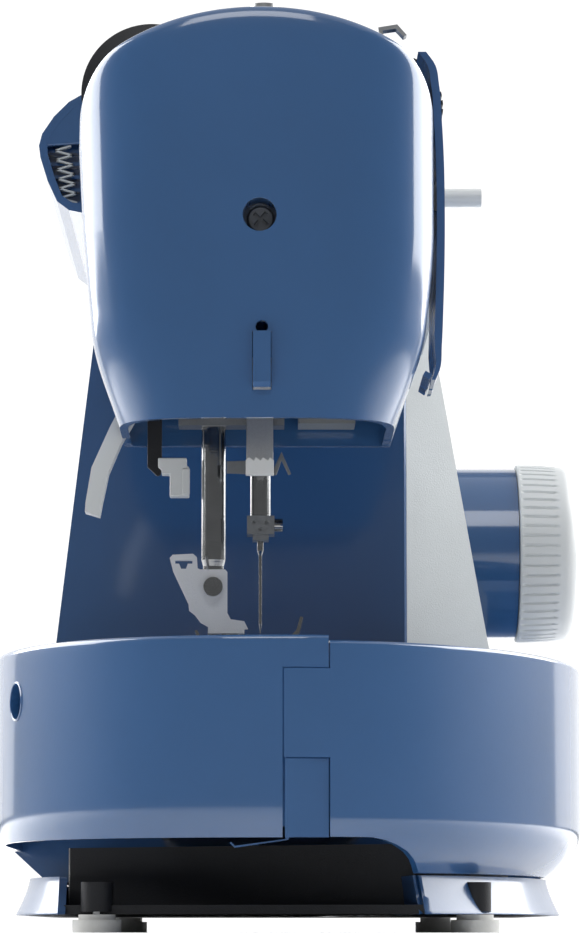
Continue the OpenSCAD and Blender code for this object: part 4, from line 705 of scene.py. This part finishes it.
def dial_radius(r, h, a):
    """Grip grooves: narrow cosine notches from 1 to 14 mm behind the front shoulder, fading at both ends."""
    window = np.clip((h - 1.0) / 0.8, 0, 1) * np.clip((14.5 - h) / 1.6, 0, 1)
    notch = np.clip((np.cos(a * RIBS) - 0.35) / 0.65, 0, 1)
    return r - 0.75 * window * notch * (r > DIAL_R - 3)


dial_profile = [(0.01, 0.0), (DIAL_R - 0.7, 0.0), (DIAL_R - 0.1, 0.3)]
dial_profile += [(DIAL_R - 0.8 * (t / 16.0) ** 2, t) for t in np.linspace(0.8, 15.5, 24)]
dial_profile += [(DIAL_R - 0.8 - 5.6 * (1 - math.cos(a)), 15.5 + 6.0 * math.sin(a)) for a in np.linspace(0.1, math.pi / 2, 12)]
dial_profile += [(DIAL_R - 9.5, 21.75), (DIAL_R - 14, 21.5), (0.01, 21.5)]
dial = make("pattern_dial_skin", [
    revolve(dial_profile, (DIAL_X, -94.8, DIAL_Z), (0, -1, 0), 56 * 16, dial_radius),
    revolve([(0.01, 0.0), (6.0, 0.0), (6.0, 45.0), (0.01, 45.0)], (DIAL_X, -50.0, DIAL_Z), (0, -1, 0), 48)], 30)
mount_piece(dial, "pattern_dial", "light_plastic", ["pattern_dial"])

# ---- edges of the CAD pieces -------------------------------------------------------------------------

EDGE_WIDTHS = {
    "front_housing": 0.8, "rear_housing": 0.8, "free_arm": 0.8, "stitch_panel": 0.4, "carry_handle": 0.4,
    "thread_cutter": 0.4, "lifter_lever": 0.9, "buttonhole_lever": 0.5, "foot_holder": 0.35, "holder_screw": 0.3,
    "needle_clamp": 0.35, "clamp_screw": 0.25, "presser_foot": 0.2, "needle_threader": 0.15, "take_up_lever": 0.25, "dial_hub": 0.6,
    "reverse_lever": 2.2, "rubber_feet": 0.4, "foot_screws": 0.2, "needle_plate": 0.2, "bobbin_cover": 0.2, "handwheel": 0.6,
    "stitch_length_dial": 0.8, "tension_dial": 0.3, "spool_cap": 0.4, "power_switch": 0.5, "power_inlet": 0.4, "latch_button": 0.3,
    "winder_spindle": 0.5, "thread_guides": 0.3, "frame": 0.8, "motor": 0.8, "bar_guide": 0.5,
}
for node_name, width in EDGE_WIDTHS.items():
    soften(NODES[node_name], width)

# ---- stage: floor, lights, camera ----------------------------------------------------------------------

floor_mesh = bpy.data.meshes.new("floor")
floor_mesh.from_pydata([(-6, -6, 0), (9, -6, 0), (9, 6, 0), (-6, 6, 0)], [], [(0, 1, 2, 3)])
studio_floor = bpy.data.objects.new("studio_floor", floor_mesh)
bpy.context.scene.collection.objects.link(studio_floor)
floor_mesh.materials.append(finish_material("pale_floor", (0.9, 0.9, 0.9), 0.7, grained))

bpy.context.scene.view_settings.view_transform = "Standard"
world = bpy.data.worlds.new("studio")
world.use_nodes = True
sky = world.node_tree
sky.nodes["Background"].inputs["Color"].default_value = (1.0, 1.0, 1.0, 1.0)
backdrop, room, seen = sky.nodes["Background"], sky.nodes.new("ShaderNodeBackground"), sky.nodes.new("ShaderNodeLightPath")
pick = sky.nodes.new("ShaderNodeMixShader")
room.inputs["Color"].default_value = (0.96, 0.98, 1.0, 1.0)
room.inputs["Strength"].default_value = 0.22
backdrop.inputs["Strength"].default_value = 1.1
sky.links.new(seen.outputs["Is Camera Ray"], pick.inputs[0])
sky.links.new(room.outputs[0], pick.inputs[1])
sky.links.new(backdrop.outputs[0], pick.inputs[2])
sky.links.new(pick.outputs[0], sky.nodes["World Output"].inputs["Surface"])
bpy.context.scene.world = world


def softbox(name, place, aim, size, radiance):
    """A rectangular studio light that the camera doesn't see; radiance is how bright its face is."""
    data = bpy.data.lights.new(name, "AREA")
    data.shape, data.size, data.size_y = "RECTANGLE", size[0], size[1]
    data.energy = radiance * math.pi * size[0] * size[1]
    lamp = bpy.data.objects.new(name, data)
    lamp.location = place
    lamp.rotation_euler = (Vector(aim) - Vector(place)).to_track_quat("-Z", "Y").to_euler()
    lamp.visible_camera = False
    bpy.context.scene.collection.objects.link(lamp)


MIDDLE = (-0.05, 0.015, 0.15)
softbox("wall_rear", (1.0, 1.3, 0.95), (1.0, 0.0, 0.35), (2.4, 1.3), 6.0)
softbox("wall_front", (1.0, -1.3, 0.95), (1.0, 0.0, 0.35), (2.4, 1.3), 6.0)
softbox("back_wall", (3.2, 0.0, 1.2), (0.0, 0.0, 0.2), (5.0, 2.4), 0.9)
softbox("ceiling", (0.1, 0.0, 2.6), (0.1, 0.0, 0.0), (3.2, 3.2), 0.5)
softbox("front_box", (-1.15, 0.1, 1.35), (-0.1, 0.015, 0.25), (0.7, 0.7), 3.8)

camera_data = bpy.data.cameras.new("camera")
camera_data.lens, camera_data.sensor_width = 154.01, 36.0
camera_data.clip_end = 50.0
camera = bpy.data.objects.new("camera", camera_data)
camera.location = (-1.385, 0.015, 0.0005)
tilt, turn = math.atan(463.5 / 4000), math.atan(31.0 / 4000 * math.cos(math.atan(463.5 / 4000)))
heading = Vector((math.cos(tilt) * math.cos(turn), -math.cos(tilt) * math.sin(turn), math.sin(tilt)))
camera.rotation_euler = heading.to_track_quat("-Z", "Y").to_euler()
bpy.context.scene.collection.objects.link(camera)
bpy.context.scene.camera = camera
